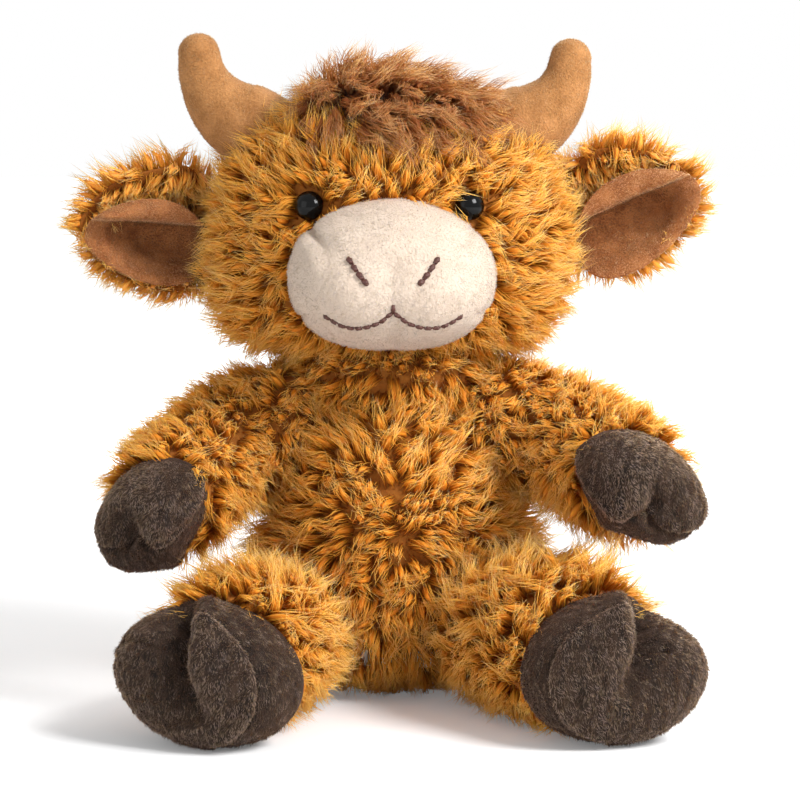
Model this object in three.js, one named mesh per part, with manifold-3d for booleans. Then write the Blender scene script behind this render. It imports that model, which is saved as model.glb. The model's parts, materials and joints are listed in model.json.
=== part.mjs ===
// A seated plush cow: long pile fur on the body, head, ears, sleeves and trouser legs, short plush on
// the muzzle, horns, hooves and ear linings. Every skin is a sewn shell with its own fibre stuffing, and
// head, arms, legs, ears and tail each hang on a sewn joint with a rounded root in a rounded seat.
// It faces -Y, +X is its own left side, and the origin is the middle of its flat seat. Millimetres.
import * as THREE from "three";
import { mergeVertices } from "three/addons/utils/BufferGeometryUtils.js";
import Module from "manifold-3d";

const wasm = await Module();
wasm.setup();

// Clearances and cloth
const fitGap = 0.3; // between pieces that lie on each other
const turnGap = 0.9; // round the root of a sewn joint
const weld = 1e-4; // corners closer than this are one corner
const cutSpan = 600; // side of the block that a flat cut removes
const sleeveOverrun = 30; // how far a sleeve's hollow runs past its open end
const flatDepth = 0.5; // how deep a piece is flattened where it rests
const furWall = 8.5; // backing and standing pile of the fur
const plushWall = 2; // backing and nap of the short plush
const seatDepth = 5; // how far a limb's root sinks into the fur

// Body
const bodyWidth = 95;
const bodyDepth = 88;
const bodyHeight = 121;
const bodyFullShare = 0.72;
const bodyTaperShare = 0.08;
const pelletShare = 0.26; // top of the pellet bag, of the body's height

// Neck and head
const neckLength = 1.5; // between the top of the body and the chin line
const neckRadius = 24;
const headShift = -2.4; // the head sits a little to the toy's right
const headSetback = 3;
const headWidth = 141;
const headDepth = 108;
const headHeight = 107;
const headFullShare = 0.86;
const headTaperShare = 0.06;

// Muzzle and its embroidery
const muzzleWidth = 75;
const muzzleHeight = 55;
const muzzleDepth = 62;
const muzzleSink = 3;
const muzzleRiseShare = -0.27;
const muzzleFullShare = 0.84;
const muzzleTaperShare = 0.17;
const threadRadius = 0.9;
// Points across and up from the middle of the muzzle, as shares of its half width and half height
const nostrilShares = [[0.41, 0.2], [0.32, 0.03], [0.21, -0.17]];
const mouthShares = [[0, -0.53], [0.14, -0.65], [0.31, -0.71], [0.48, -0.7], [0.66, -0.57]];
const mouthKnotShares = [[0, -0.56], [0, -0.38]];

// Eyes
const eyeWidth = 10;
const eyeHeight = 4.2;
// Half width and height of the bead's dome, from its rim upwards
const domeShares = [[1, 0.2], [0.88, 0.55], [0.55, 0.88]];
const eyeSink = 3.4; // from the top of the pile down to the back of the eye
const eyeHoleRise = 6.8; // from the back of the eye to the open end of its hole in the pile
const eyeRiseShare = 0.16;
const eyeTurn = 26; // degrees from straight ahead
const shankRadius = 1.7;
const shankLength = 9;
const washerRadius = 6;
const washerThickness = 1.2;
const washerDepth = 1.6; // of the washer under the skin

// Horns
const hornRiseShare = 0.66;
const hornReach = 17;
const hornRise = 27;
const hornRadii = [15.5, 14, 12.2, 10.8, 9.4, 8];
const hornRoot = 17; // length of horn that runs down into the head
const hornRootFallShare = 0.5; // how steeply the root runs down
const hornBendShare = 0.25; // height of the bend
const hornTipShare = 0.9; // how far the tip is domed, of its radius

// Forelock
const forelockWidth = 90;
const forelockDepth = 66;
const forelockHeight = 42;
const forelockLeanShare = 0.06;
const forelockForwardShare = 0.18;
const forelockRiseShare = 0.1; // of the head's height, over the crown

// Ears
const earLength = 50;
const earHeight = 56;
const earBackWall = 9;
const earFrontWall = 2.5;
const liningWall = 2.2;
const earCup = 9; // how far the upper and lower edges come forward
const earRootRadius = 5.5;
const earRootLength = 36;
const earRootShare = 0.68;
const earWideShare = 0.42;
const earTipShare = 0.66; // one half is a round tip, more is a pointed one
const liningShare = 0.76;
const leafStartShare = 0.14; // the leaf's thickness follows this stretch of a half wave
const leafSpanShare = 0.78;
const earSeat = 4.6;
const earRodSides = 16;
const earSides = [
  { side: 1, word: "left", riseShare: 0.12, liftDegrees: 9 },
  { side: -1, word: "right", riseShare: 0.04, liftDegrees: -3 },
];

// Arms
const armRootRadius = 21;
const armRadii = [armRootRadius, 24, 25.5, 25.5, 24];
const armLength = 58;
const armBow = 6;
const wristCap = 11;
const shoulderShare = 0.56;
const shoulderTurn = 4; // degrees in front of straight sideways
const armSides = [
  { side: 1, word: "left", splayDegrees: 30, dropDegrees: 13 },
  { side: -1, word: "right", splayDegrees: 30, dropDegrees: 22 },
];

// Legs
const legRootRadius = 24;
const legRadii = [legRootRadius, 27, 29, 29.5, 28];
const legLength = 56;
const ankleCap = 11;
const hipTurn = 48; // degrees in front of straight sideways
const hipShare = -0.62;
const legSides = [
  { side: 1, word: "left", splayDegrees: 29 },
  { side: -1, word: "right", splayDegrees: 22 },
];

// Hooves: width, height and length of the front and hind pair, and the three lobes that each is made of
const frontHoof = { width: 41, height: 37, length: 42, forward: 9 };
const hindHoof = { width: 63, height: 53, length: 48, forward: 9 };
const lobeShares = [
  { across: -0.23, up: 0.02, width: 0.55, height: 0.96, length: 0.98 },
  { across: 0.24, up: 0.03, width: 0.52, height: 0.94, length: 0.92 },
  { across: 0.01, up: -0.17, width: 0.86, height: 0.66, length: 0.9 },
];
const hoofFullShare = 0.9;

// Tail
const tailRootRadius = 6.5;
const tailRadii = [tailRootRadius, 6.2, 5.8, 5.5];
const tailBack = 15;
const tailFall = 20;
const tailRiseShare = -0.18;
const tuftRadii = [4.5, 9, 9.5, 6.5];
const tuftLength = 13;

// How finely the forms are divided
const smoothBall = { rings: 8, sectors: 18 };
const fine = { rings: 10, sectors: 18 };
const medium = { rings: 8, sectors: 14 };
const coarse = { rings: 6, sectors: 10 };
const rough = { rings: 4, sectors: 8 };
const leafDetail = { rings: 7, sectors: 12 };
const hornSectors = 10;
const eyeSectors = 10;
const threadSectors = 3; // divisions of each quarter of a thread's section
const stitchSteps = 2; // divisions between two points of a line of embroidery
const capSteps = 2;
const limbSteps = 6;
const fillSteps = 4;

// Materials
const cloth = (color, roughness) =>
  new THREE.MeshStandardMaterial({ color, roughness, metalness: 0 });
const fur = () => cloth(0xb87428, 0.95);
const hornPlush = () => cloth(0xb98a58, 0.92);
const hoofPlush = () => cloth(0x4a3f3b, 0.9);
const creamPlush = () => cloth(0xe6d6c8, 0.92);
const earPlush = () => cloth(0x8a5a3c, 0.92);
const brownHair = () => cloth(0x7a4c30, 0.95);
const fibre = () => cloth(0xf2f0ea, 1);
const pelletCloth = () => cloth(0xcfcbc2, 0.9);
const thread = () => cloth(0x5d3329, 0.7);
const gloss = () => cloth(0x0a0a0a, 0.08);
const washerPlastic = () => cloth(0xd9d9d4, 0.5);

const radians = THREE.MathUtils.degToRad;
const power = (value, share) => Math.sign(value) * Math.abs(value) ** share;
const shift = (point, direction, length) => point.clone().addScaledVector(direction, length);
const joined = (solids) => solids.reduce((sum, one) => sum.add(one));
const cutAll = (solid, cutters) => cutters.reduce((rest, cutter) => rest.subtract(cutter), solid);

// Joins rows of points into one closed surface. The first and last rows are single points.
function closedForm(rows) {
  const starts = [];
  const corners = [];
  for (const row of rows) {
    starts.push(corners.length);
    corners.push(...row);
  }
  const faces = [];
  for (let i = 0; i + 1 < rows.length; i += 1) {
    const count = Math.max(rows[i].length, rows[i + 1].length);
    const at = (row, step) => starts[row] + (rows[row].length > 1 ? step % count : 0);
    for (let j = 0; j < count; j += 1) {
      if (rows[i].length > 1) faces.push(at(i, j), at(i, j + 1), at(i + 1, j + 1));
      if (rows[i + 1].length > 1) faces.push(at(i, j), at(i + 1, j + 1), at(i + 1, j));
    }
  }
  return new THREE.BufferGeometry().setFromPoints(corners).setIndex(faces);
}

// Moves a geometry by a matrix, and turns its faces round where the matrix mirrors it.
function placed(geometry, matrix) {
  const moved = geometry.clone().applyMatrix4(matrix);
  if (matrix.determinant() >= 0) return moved;
  const index = moved.index.array;
  for (let i = 0; i < index.length; i += 3) {
    [index[i + 1], index[i + 2]] = [index[i + 2], index[i + 1]];
  }
  return moved;
}

// The solid that a closed geometry encloses.
function solidOf(geometry) {
  const bare = geometry.clone();
  bare.deleteAttribute("normal");
  bare.deleteAttribute("uv");
  const merged = mergeVertices(bare, weld);
  return new wasm.Manifold(
    new wasm.Mesh({
      numProp: 3,
      vertProperties: merged.attributes.position.array,
      triVerts: new Uint32Array(merged.index.array),
    }),
  );
}

// A named mesh of a solid.
function pieceOf(name, solid, material) {
  const { numProp, vertProperties, triVerts } = solid.getMesh();
  const corners = [];
  for (let i = 0; i < vertProperties.length; i += numProp) {
    corners.push(new THREE.Vector3(...vertProperties.subarray(i, i + 3)));
  }
  const geometry = new THREE.BufferGeometry().setFromPoints(corners).setIndex([...triVerts]);
  geometry.computeVertexNormals();
  const mesh = new THREE.Mesh(geometry, material);
  mesh.name = name;
  return mesh;
}

// What is left of a solid on the near side of a flat cut.
function cutBeyond(solid, point, direction) {
  const block = new THREE.BoxGeometry(cutSpan, cutSpan, cutSpan).translate(0, 0, cutSpan / 2);
  const turn = new THREE.Quaternion().setFromUnitVectors(new THREE.Vector3(0, 0, 1), direction);
  block.applyQuaternion(turn).translate(point.x, point.y, point.z);
  return solid.subtract(solidOf(block));
}

const aboveFloor = (solid) => cutBeyond(solid, new THREE.Vector3(), new THREE.Vector3(0, 0, -1));

function ball(centre, radius, detail = smoothBall) {
  const sphere = new THREE.SphereGeometry(radius, detail.sectors, detail.rings);
  return solidOf(sphere.translate(centre.x, centre.y, centre.z));
}

// A full, rounded form: sines and cosines raised to a share below one fill out its corners, and its
// width falls by the taper from its middle to its top.
function ovoid({ centre, semi, full, taper = 0 }, grow, { rings, sectors }) {
  const size = semi.clone().addScalar(grow);
  const rows = [];
  for (let i = 0; i <= rings; i += 1) {
    const up = Math.PI * (i / rings - 1 / 2);
    const reach = i % rings ? power(Math.cos(up), full) : 0;
    const rise = power(Math.sin(up), full);
    const row = [];
    for (let j = 0; j < (i % rings ? sectors : 1); j += 1) {
      const round = (2 * Math.PI * j) / sectors;
      row.push(
        new THREE.Vector3(
          size.x * reach * (1 - taper * rise) * Math.cos(round),
          size.y * reach * Math.sin(round),
          size.z * rise,
        ).add(centre),
      );
    }
    rows.push(row);
  }
  return closedForm(rows);
}

// The point of an ovoid at a turn from +X towards -Y and at a share of its half height, and the
// outward direction there.
function spotOn({ centre, semi, full, taper = 0 }, turn, share) {
  const reach = (1 - Math.abs(share) ** (2 / full)) ** (full / 2);
  const slope = Math.abs(share) ** (2 / full - 1) * reach ** (1 - 2 / full) * Math.sign(share);
  const width = semi.x * (1 - taper * share);
  const point = new THREE.Vector3(
    width * reach * Math.cos(turn),
    -semi.y * reach * Math.sin(turn),
    semi.z * share,
  ).add(centre);
  const out = new THREE.Vector3(
    Math.cos(turn) / width,
    -Math.sin(turn) / semi.y,
    slope / semi.z,
  ).normalize();
  return { point, out };
}

// A round tube that swells and tapers along a path, with a half ball at its root and a domed end.
function limb({ path, radii, cap }, grow, steps, sectors) {
  const swell = new THREE.SplineCurve(radii.map((r, i) => new THREE.Vector2(i, r)));
  const { tangents, normals, binormals } = path.computeFrenetFrames(steps, false);
  const ring = (i, centre, radius) =>
    Array.from({ length: radius > weld ? sectors : 1 }, (_, j) => {
      const round = (2 * Math.PI * j) / sectors;
      const across = shift(centre, normals[i], radius * Math.cos(round));
      return shift(across, binormals[i], radius * Math.sin(round));
    });
  const rows = [];
  const first = radii[0] + grow;
  const last = radii.at(-1) + grow;
  for (let k = 0; k < capSteps; k += 1) {
    const angle = (Math.PI / 2) * (k / capSteps);
    const centre = shift(path.getPoint(0), tangents[0], -first * Math.cos(angle));
    rows.push(ring(0, centre, first * Math.sin(angle)));
  }
  for (let i = 0; i <= steps; i += 1) {
    rows.push(ring(i, path.getPoint(i / steps), swell.getPoint(i / steps).y + grow));
  }
  for (let k = capSteps - 1; k >= 0; k -= 1) {
    const angle = (Math.PI / 2) * (k / capSteps);
    const centre = shift(path.getPoint(1), tangents[steps], (cap + grow) * Math.cos(angle));
    rows.push(ring(steps, centre, last * Math.sin(angle)));
  }
  return solidOf(closedForm(rows));
}

// The three lobes of a cloven hoof in a frame of its own: across, along and up.
function hoof({ width, height, length }, frame, mirror, grow, detail) {
  const lobes = lobeShares.map((lobe) => {
    const form = {
      centre: new THREE.Vector3(mirror * lobe.across * width, 0, lobe.up * height),
      semi: new THREE.Vector3(
        (lobe.width * width) / 2,
        (lobe.length * length) / 2,
        (lobe.height * height) / 2,
      ),
      full: hoofFullShare,
    };
    return solidOf(placed(ovoid(form, grow, detail), frame));
  });
  return joined(lobes);
}

// A frame that looks along a direction, with its third axis as near upright as it can be.
function frameAlong(direction, origin) {
  const across = direction.clone().cross(new THREE.Vector3(0, 0, 1)).normalize();
  const up = across.clone().cross(direction);
  return new THREE.Matrix4().makeBasis(across, direction, up).setPosition(origin);
}

// A fur sleeve with a plush hoof in its open end, and one stuffing that fills both.
function stuffedLimb(shape, hoofSize, middle, mirror, names) {
  const end = shape.path.getPoint(1);
  const along = shape.path.getTangent(1);
  const frame = frameAlong(along, middle);
  const open = { ...shape, cap: shape.cap + furWall + sleeveOverrun };
  const back = along.clone().negate();
  const seam = (solid) => cutBeyond(solid, end, back);
  const aroundHoof = hoof(hoofSize, frame, mirror, fitGap, coarse);
  const skin = cutAll(aboveFloor(limb(shape, 0, limbSteps, medium.sectors)), [
    limb(open, -furWall, fillSteps, rough.sectors),
    cutBeyond(aroundHoof, shift(end, along, -fitGap), back),
  ]);
  const hoofSkin = cutAll(aboveFloor(seam(hoof(hoofSize, frame, mirror, 0, coarse))), [
    hoof(hoofSize, frame, mirror, -plushWall, rough),
  ]);
  const deep = { ...shape, cap: shape.cap + furWall };
  const sleeveFill = limb(deep, -furWall - fitGap, fillSteps, rough.sectors);
  const hoofFill = hoof(hoofSize, frame, mirror, -plushWall - fitGap, rough);
  const filled = joined([
    cutBeyond(sleeveFill, end, along),
    seam(hoofFill),
    sleeveFill.intersect(hoofFill),
  ]);
  return [
    pieceOf(names.skin, skin, fur()),
    pieceOf(names.hoof, hoofSkin, hoofPlush()),
    pieceOf(names.stuffing, filled, fibre()),
  ];
}

const toy = new THREE.Group();

// Torso: the body's skin, its stuffing and the pellet bag that weights the seat
const bodyForm = {
  centre: new THREE.Vector3(0, 0, (bodyHeight - flatDepth) / 2),
  semi: new THREE.Vector3(bodyWidth / 2, bodyDepth / 2, (bodyHeight + flatDepth) / 2),
  full: bodyFullShare,
  taper: bodyTaperShare,
};
const neckCentre = new THREE.Vector3(headShift / 2, headSetback / 2, bodyHeight + neckLength / 2);

// Where each limb's rounded root sits: sunk a little into the fur of what carries it.
function rootOn(form, turn, share, radius, sink) {
  const { point, out } = spotOn(form, turn, share);
  return shift(point, out, radius - sink);
}
const turnFor = (side, degrees) => (side > 0 ? radians(degrees) : Math.PI - radians(degrees));

const shoulders = armSides.map((arm) => ({
  ...arm,
  centre: rootOn(bodyForm, turnFor(arm.side, shoulderTurn), shoulderShare, armRootRadius, seatDepth),
}));
const hips = legSides.map((leg) => {
  const centre = rootOn(bodyForm, turnFor(leg.side, hipTurn), hipShare, legRootRadius, seatDepth);
  return { ...leg, centre: centre.setZ(legRootRadius - flatDepth) };
});
const tailRoot = rootOn(bodyForm, -Math.PI / 2, tailRiseShare, tailRootRadius, seatDepth);

const sockets = joined([
  ball(neckCentre, neckRadius + turnGap),
  ...shoulders.map(({ centre }) => ball(centre, armRootRadius + turnGap)),
  ...hips.map(({ centre }) => ball(centre, legRootRadius + turnGap)),
  ball(tailRoot, tailRootRadius + turnGap, coarse),
]);
const pelletTop = new THREE.Vector3(0, 0, bodyHeight * pelletShare);
const up = new THREE.Vector3(0, 0, 1);
const down = new THREE.Vector3(0, 0, -1);
const bodyOuter = aboveFloor(solidOf(ovoid(bodyForm, 0, fine)));
const bodyInner = solidOf(ovoid(bodyForm, -furWall, coarse));
const bodyFill = solidOf(ovoid(bodyForm, -furWall - fitGap, coarse)).subtract(sockets);
toy.add(
  pieceOf("body_skin", bodyOuter.subtract(bodyInner).subtract(sockets), fur()),
  pieceOf("body_stuffing", cutBeyond(bodyFill, shift(pelletTop, up, fitGap), down), fibre()),
  pieceOf("pellet_bag", cutBeyond(bodyFill, pelletTop, up), pelletCloth()),
  pieceOf("neck_stuffing", ball(neckCentre, neckRadius), fibre()),
);

// Head
const headForm = {
  centre: new THREE.Vector3(headShift, headSetback, bodyHeight + neckLength + headHeight / 2),
  semi: new THREE.Vector3(headWidth / 2, headDepth / 2, headHeight / 2),
  full: headFullShare,
  taper: headTaperShare,
};
const headInner = solidOf(ovoid(headForm, -furWall, medium));
const aroundFill = solidOf(ovoid(headForm, -furWall + fitGap, medium));

// Muzzle: an ovoid that stands out of the face
const ahead = spotOn(headForm, Math.PI / 2, muzzleRiseShare);
const muzzleForm = {
  centre: shift(ahead.point, ahead.out, -muzzleSink),
  semi: new THREE.Vector3(muzzleWidth / 2, muzzleDepth / 2, muzzleHeight / 2),
  full: muzzleFullShare,
  taper: muzzleTaperShare,
};
const muzzleOuter = solidOf(ovoid(muzzleForm, 0, fine));
const muzzleAround = solidOf(ovoid(muzzleForm, fitGap, fine));
const muzzleInner = solidOf(ovoid(muzzleForm, -plushWall, coarse));
const muzzleFill = solidOf(ovoid(muzzleForm, -plushWall - fitGap, coarse));

// The point of the muzzle's front at shares of its half width and half height.
function onMuzzle([across, rise], stand) {
  const { centre, semi, full, taper } = muzzleForm;
  const reach = (1 - Math.abs(rise) ** (2 / full)) ** (full / 2);
  const depth = Math.sqrt(Math.max(0, reach ** 2 - (across / (1 - taper * rise)) ** 2));
  return new THREE.Vector3(
    centre.x + across * semi.x,
    centre.y - depth * semi.y - stand,
    centre.z + rise * semi.z,
  );
}

// A raised line of embroidery that lies on the muzzle.
function embroidery(points) {
  const section = new THREE.Shape().absarc(0, 0, threadRadius, 0, 2 * Math.PI);
  const sewing = {
    steps: (points.length - 1) * stitchSteps,
    extrudePath: new THREE.CatmullRomCurve3(points),
    curveSegments: threadSectors,
    bevelEnabled: false,
  };
  return solidOf(new THREE.ExtrudeGeometry(section, sewing));
}
const threadStand = threadRadius + fitGap;
const mirrored = (shares) => shares.slice(1).reverse().map(([across, rise]) => [-across, rise]);
const mouthPath = [...mirrored(mouthShares), ...mouthShares];
const stitches = [
  ["nostril_stitch_left", nostrilShares],
  ["nostril_stitch_right", nostrilShares.map(([across, rise]) => [-across, rise])],
  ["mouth_stitch", mouthPath],
].map(([name, shares]) => {
  const lines = name === "mouth_stitch" ? [shares, mouthKnotShares] : [shares];
  const sewn = lines.map((line) => embroidery(line.map((share) => onMuzzle(share, threadStand))));
  return pieceOf(name, joined(sewn).subtract(muzzleAround), thread());
});

// Eyes: a domed bead, its shank and the washer that locks it behind the cloth
const eyes = [1, -1].map((side) => {
  const turn = Math.PI / 2 - side * radians(eyeTurn);
  const { point, out } = spotOn(headForm, turn, eyeRiseShare);
  const turnOut = new THREE.Quaternion().setFromUnitVectors(new THREE.Vector3(0, 1, 0), out);
  const back = shift(point, out, -eyeSink);
  const revolve = (profile) => {
    const turned = new THREE.LatheGeometry(profile.map(([x, y]) => new THREE.Vector2(x, y)), eyeSectors);
    return solidOf(turned.applyQuaternion(turnOut).translate(back.x, back.y, back.z));
  };
  const bead = [
    [0, -shankLength],
    [shankRadius, -shankLength],
    [shankRadius, 0],
    [eyeWidth / 2, 0],
    ...domeShares.map(([wide, high]) => [(eyeWidth / 2) * wide, eyeHeight * high]),
    [0, eyeHeight],
  ];
  const hole = [
    [0, -shankLength - fitGap],
    [shankRadius + fitGap, -shankLength - fitGap],
    [shankRadius + fitGap, -fitGap],
    [eyeWidth / 2 + fitGap, -fitGap],
    [eyeWidth / 2 + fitGap, eyeHoleRise],
    [0, eyeHoleRise],
  ];
  const behind = eyeSink - furWall - washerDepth;
  const ring = (grow) => [
    [shankRadius + fitGap - grow, behind - washerThickness - grow],
    [washerRadius + grow, behind - washerThickness - grow],
    [washerRadius + grow, behind + grow],
    [shankRadius + fitGap - grow, behind + grow],
    [shankRadius + fitGap - grow, behind - washerThickness - grow],
  ];
  return {
    word: side > 0 ? "left" : "right",
    bead: revolve(bead),
    hole: revolve(hole),
    washer: revolve(ring(0)),
    pocket: revolve(ring(fitGap)),
  };
});

// Horns: tapered, bent up, rooted on the stuffing
const horns = [1, -1].map((side) => {
  const { point } = spotOn(headForm, side > 0 ? 0 : Math.PI, hornRiseShare);
  const step = (across, rise) => point.clone().add(new THREE.Vector3(side * across, 0, rise));
  const path = new THREE.QuadraticBezierCurve3(
    step(-hornRoot, -hornRoot * hornRootFallShare),
    step(hornReach, hornRise * hornBendShare),
    step(hornReach, hornRise),
  );
  const shape = { path, radii: hornRadii, cap: hornRadii.at(-1) * hornTipShare };
  return {
    word: side > 0 ? "left" : "right",
    outer: limb(shape, 0, limbSteps, hornSectors),
    around: limb(shape, fitGap, limbSteps, hornSectors),
    inner: limb(shape, -plushWall, fillSteps, rough.sectors),
    fill: limb(shape, -plushWall - fitGap, fillSteps, rough.sectors),
  };
});

// Ears: a leaf of fur lined with short plush, hung on a rounded root
// Half height of the leaf at a share of its length.
function earProfile(share) {
  const past = Math.max(0, share - earWideShare) / (1 - earWideShare);
  if (past > 0) return Math.max(0, 1 - past ** 2) ** earTipShare;
  return earRootShare + (1 - earRootShare) * Math.sin((Math.PI / 2) * (share / earWideShare));
}

// A leaf whose edges come forward. Its front lies behind the mid surface's own bulge by the lay.
function leaf({ length, height, start, backWall, frontWall, lay }) {
  const { rings, sectors } = leafDetail;
  const rows = [];
  for (let i = 0; i <= rings; i += 1) {
    const share = (1 - Math.cos((Math.PI * i) / rings)) / 2;
    const half = (height / 2) * earProfile(share);
    const row = [];
    for (let j = 0; j < (i % rings ? sectors : 1); j += 1) {
      const round = (-2 * Math.PI * j) / sectors;
      const q = i % rings ? Math.cos(round) : 0;
      const wall = i % rings ? Math.sin(round) : 0;
      const full = Math.sqrt(Math.sin(Math.PI * (leafStartShare + leafSpanShare * share)));
      const thick = wall > 0 ? backWall * wall * full : frontWall * wall * full;
      const z = q * half;
      const front = -earCup * (z / (earHeight / 2)) ** 2;
      row.push(new THREE.Vector3(start + length * share, front + thick - lay, z));
    }
    rows.push(row);
  }
  return closedForm(rows);
}
const ears = earSides.map(({ side, word, riseShare, liftDegrees }) => {
  const { point } = spotOn(headForm, side > 0 ? 0 : Math.PI, riseShare);
  const hinge = point.clone().setX(point.x + side * (earRootRadius - earSeat));
  const frame = new THREE.Matrix4()
    .makeTranslation(hinge.x, hinge.y, hinge.z)
    .multiply(new THREE.Matrix4().makeRotationY(-side * radians(liftDegrees)))
    .multiply(new THREE.Matrix4().makeScale(side, 1, 1));
  const rod = (grow) => {
    const radius = earRootRadius + grow;
    const standing = new THREE.CylinderGeometry(radius, radius, earRootLength + grow * 2, earRodSides);
    return solidOf(placed(standing.rotateX(Math.PI / 2), frame));
  };
  const backLeaf = leaf({
    length: earLength,
    height: earHeight,
    start: 0,
    backWall: earBackWall,
    frontWall: earFrontWall,
    lay: 0,
  });
  const liningLeaf = leaf({
    length: earLength * liningShare,
    height: earHeight * liningShare,
    start: earRootRadius,
    backWall: 0,
    frontWall: liningWall,
    lay: earFrontWall + fitGap,
  });
  return {
    word,
    back: solidOf(placed(backLeaf, frame)).add(rod(0)),
    lining: solidOf(placed(liningLeaf, frame)),
    groove: rod(turnGap),
  };
});

const headSockets = [ball(neckCentre, neckRadius + turnGap), ...ears.map(({ groove }) => groove)];
const eyeHoles = eyes.flatMap(({ hole, pocket }) => [hole, pocket]);
const headSkin = cutAll(solidOf(ovoid(headForm, 0, fine)), [
  headInner,
  muzzleAround,
  ...headSockets,
  ...eyeHoles,
  ...horns.map(({ around }) => around),
]);
const headFill = cutAll(solidOf(ovoid(headForm, -furWall - fitGap, medium)), [
  ...headSockets,
  ...eyeHoles,
]);
const muzzleSkin = cutAll(muzzleOuter, [muzzleInner, aroundFill, ...eyeHoles]);
toy.add(
  pieceOf("head_skin", headSkin, fur()),
  pieceOf("head_stuffing", headFill, fibre()),
  pieceOf("muzzle_skin", muzzleSkin, creamPlush()),
  pieceOf("muzzle_stuffing", muzzleFill.subtract(aroundFill), fibre()),
  ...stitches,
);
for (const { word, bead, washer } of eyes) {
  toy.add(
    pieceOf(`eye_${word}`, bead, gloss()),
    pieceOf(`eye_washer_${word}`, washer, washerPlastic()),
  );
}
for (const { word, outer, inner, fill } of horns) {
  toy.add(
    pieceOf(`horn_skin_${word}`, cutAll(outer, [inner, aroundFill]), hornPlush()),
    pieceOf(`horn_stuffing_${word}`, fill.subtract(aroundFill), fibre()),
  );
}
for (const { word, back, lining } of ears) {
  toy.add(
    pieceOf(`ear_back_${word}`, back, fur()),
    pieceOf(`ear_lining_${word}`, lining, earPlush()),
  );
}

// Forelock: a mop of long hair on the crown, between the horns
const crown = headForm.centre.z + headForm.semi.z;
const forelockForm = {
  centre: new THREE.Vector3(
    headShift + forelockWidth * forelockLeanShare,
    headSetback - forelockDepth * forelockForwardShare,
    crown - forelockHeight / 2 + headHeight * forelockRiseShare,
  ),
  semi: new THREE.Vector3(forelockWidth / 2, forelockDepth / 2, forelockHeight / 2),
  full: 1,
};
const forelock = cutAll(solidOf(ovoid(forelockForm, 0, medium)), [
  solidOf(ovoid(headForm, fitGap, fine)),
  ...horns.map(({ around }) => around),
]);
toy.add(pieceOf("forelock", forelock, brownHair()));

// Arms: bowed sleeves that reach forward
for (const { side, word, centre, splayDegrees, dropDegrees } of shoulders) {
  const splay = radians(splayDegrees);
  const drop = radians(dropDegrees);
  const reach = new THREE.Vector3(
    side * Math.sin(splay) * Math.cos(drop),
    -Math.cos(splay) * Math.cos(drop),
    -Math.sin(drop),
  );
  const aside = new THREE.Vector3(side, 0, 0);
  const middle = shift(shift(centre, reach, armLength / 2), aside, armBow);
  const path = new THREE.QuadraticBezierCurve3(centre, middle, shift(centre, reach, armLength));
  const names = {
    skin: `arm_skin_${word}`,
    hoof: `front_hoof_${word}`,
    stuffing: `arm_stuffing_${word}`,
  };
  const shape = { path, radii: armRadii, cap: wristCap };
  const hoofMiddle = shift(path.getPoint(1), path.getTangent(1), frontHoof.forward);
  toy.add(...stuffedLimb(shape, frontHoof, hoofMiddle, side, names));
}

// Legs: sleeves that lie on the floor and widen towards the hoof
for (const { side, word, centre, splayDegrees } of hips) {
  const splay = radians(splayDegrees);
  const reach = new THREE.Vector3(side * Math.sin(splay), -Math.cos(splay), 0);
  const stations = legRadii.map((radius, i) =>
    shift(centre, reach, (legLength * i) / (legRadii.length - 1)).setZ(radius - flatDepth),
  );
  const path = new THREE.CatmullRomCurve3(stations);
  const names = {
    skin: `leg_skin_${word}`,
    hoof: `hind_hoof_${word}`,
    stuffing: `leg_stuffing_${word}`,
  };
  const shape = { path, radii: legRadii, cap: ankleCap };
  const hoofMiddle = shift(path.getPoint(1), reach, hindHoof.forward).setZ(hindHoof.height / 2 - flatDepth);
  toy.add(...stuffedLimb(shape, hindHoof, hoofMiddle, side, names));
}

// Tail: a thin tube of fur with a brown tuft, behind the seat
const tailEnd = tailRoot.clone().add(new THREE.Vector3(0, tailBack, -tailFall));
const tailBend = tailRoot.clone().add(new THREE.Vector3(0, tailBack, 0));
const tailPath = new THREE.QuadraticBezierCurve3(tailRoot, tailBend, tailEnd);
const tailWay = tailPath.getTangent(1);
const tuftStart = shift(tailEnd, tailWay, tuftRadii[0]);
const tuftPath = new THREE.LineCurve3(tuftStart, shift(tuftStart, tailWay, tuftLength));
const tailTube = limb({ path: tailPath, radii: tailRadii, cap: fitGap }, 0, limbSteps, coarse.sectors);
const tuftShape = { path: tuftPath, radii: tuftRadii, cap: tuftRadii.at(-1) };
const tuftForm = limb(tuftShape, 0, limbSteps, coarse.sectors);
const tuft = cutBeyond(tuftForm, shift(tailEnd, tailWay, fitGap), tailWay.clone().negate());
toy.add(
  pieceOf("tail_skin", cutBeyond(tailTube, tailEnd, tailWay), fur()),
  pieceOf("tail_tuft", tuft, brownHair()),
);

export default toy;
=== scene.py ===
"""The looks of a seated plush cow: shaggy ochre fur, cream muzzle, tan horns, brown forelock and dark hooves.

Shapes are worked out in millimetres on numpy grids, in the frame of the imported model: +Z is up, the toy
faces -Y, and +X is its own left side. Each piece goes into Blender in metres.
"""
import json
from collections import namedtuple

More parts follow.
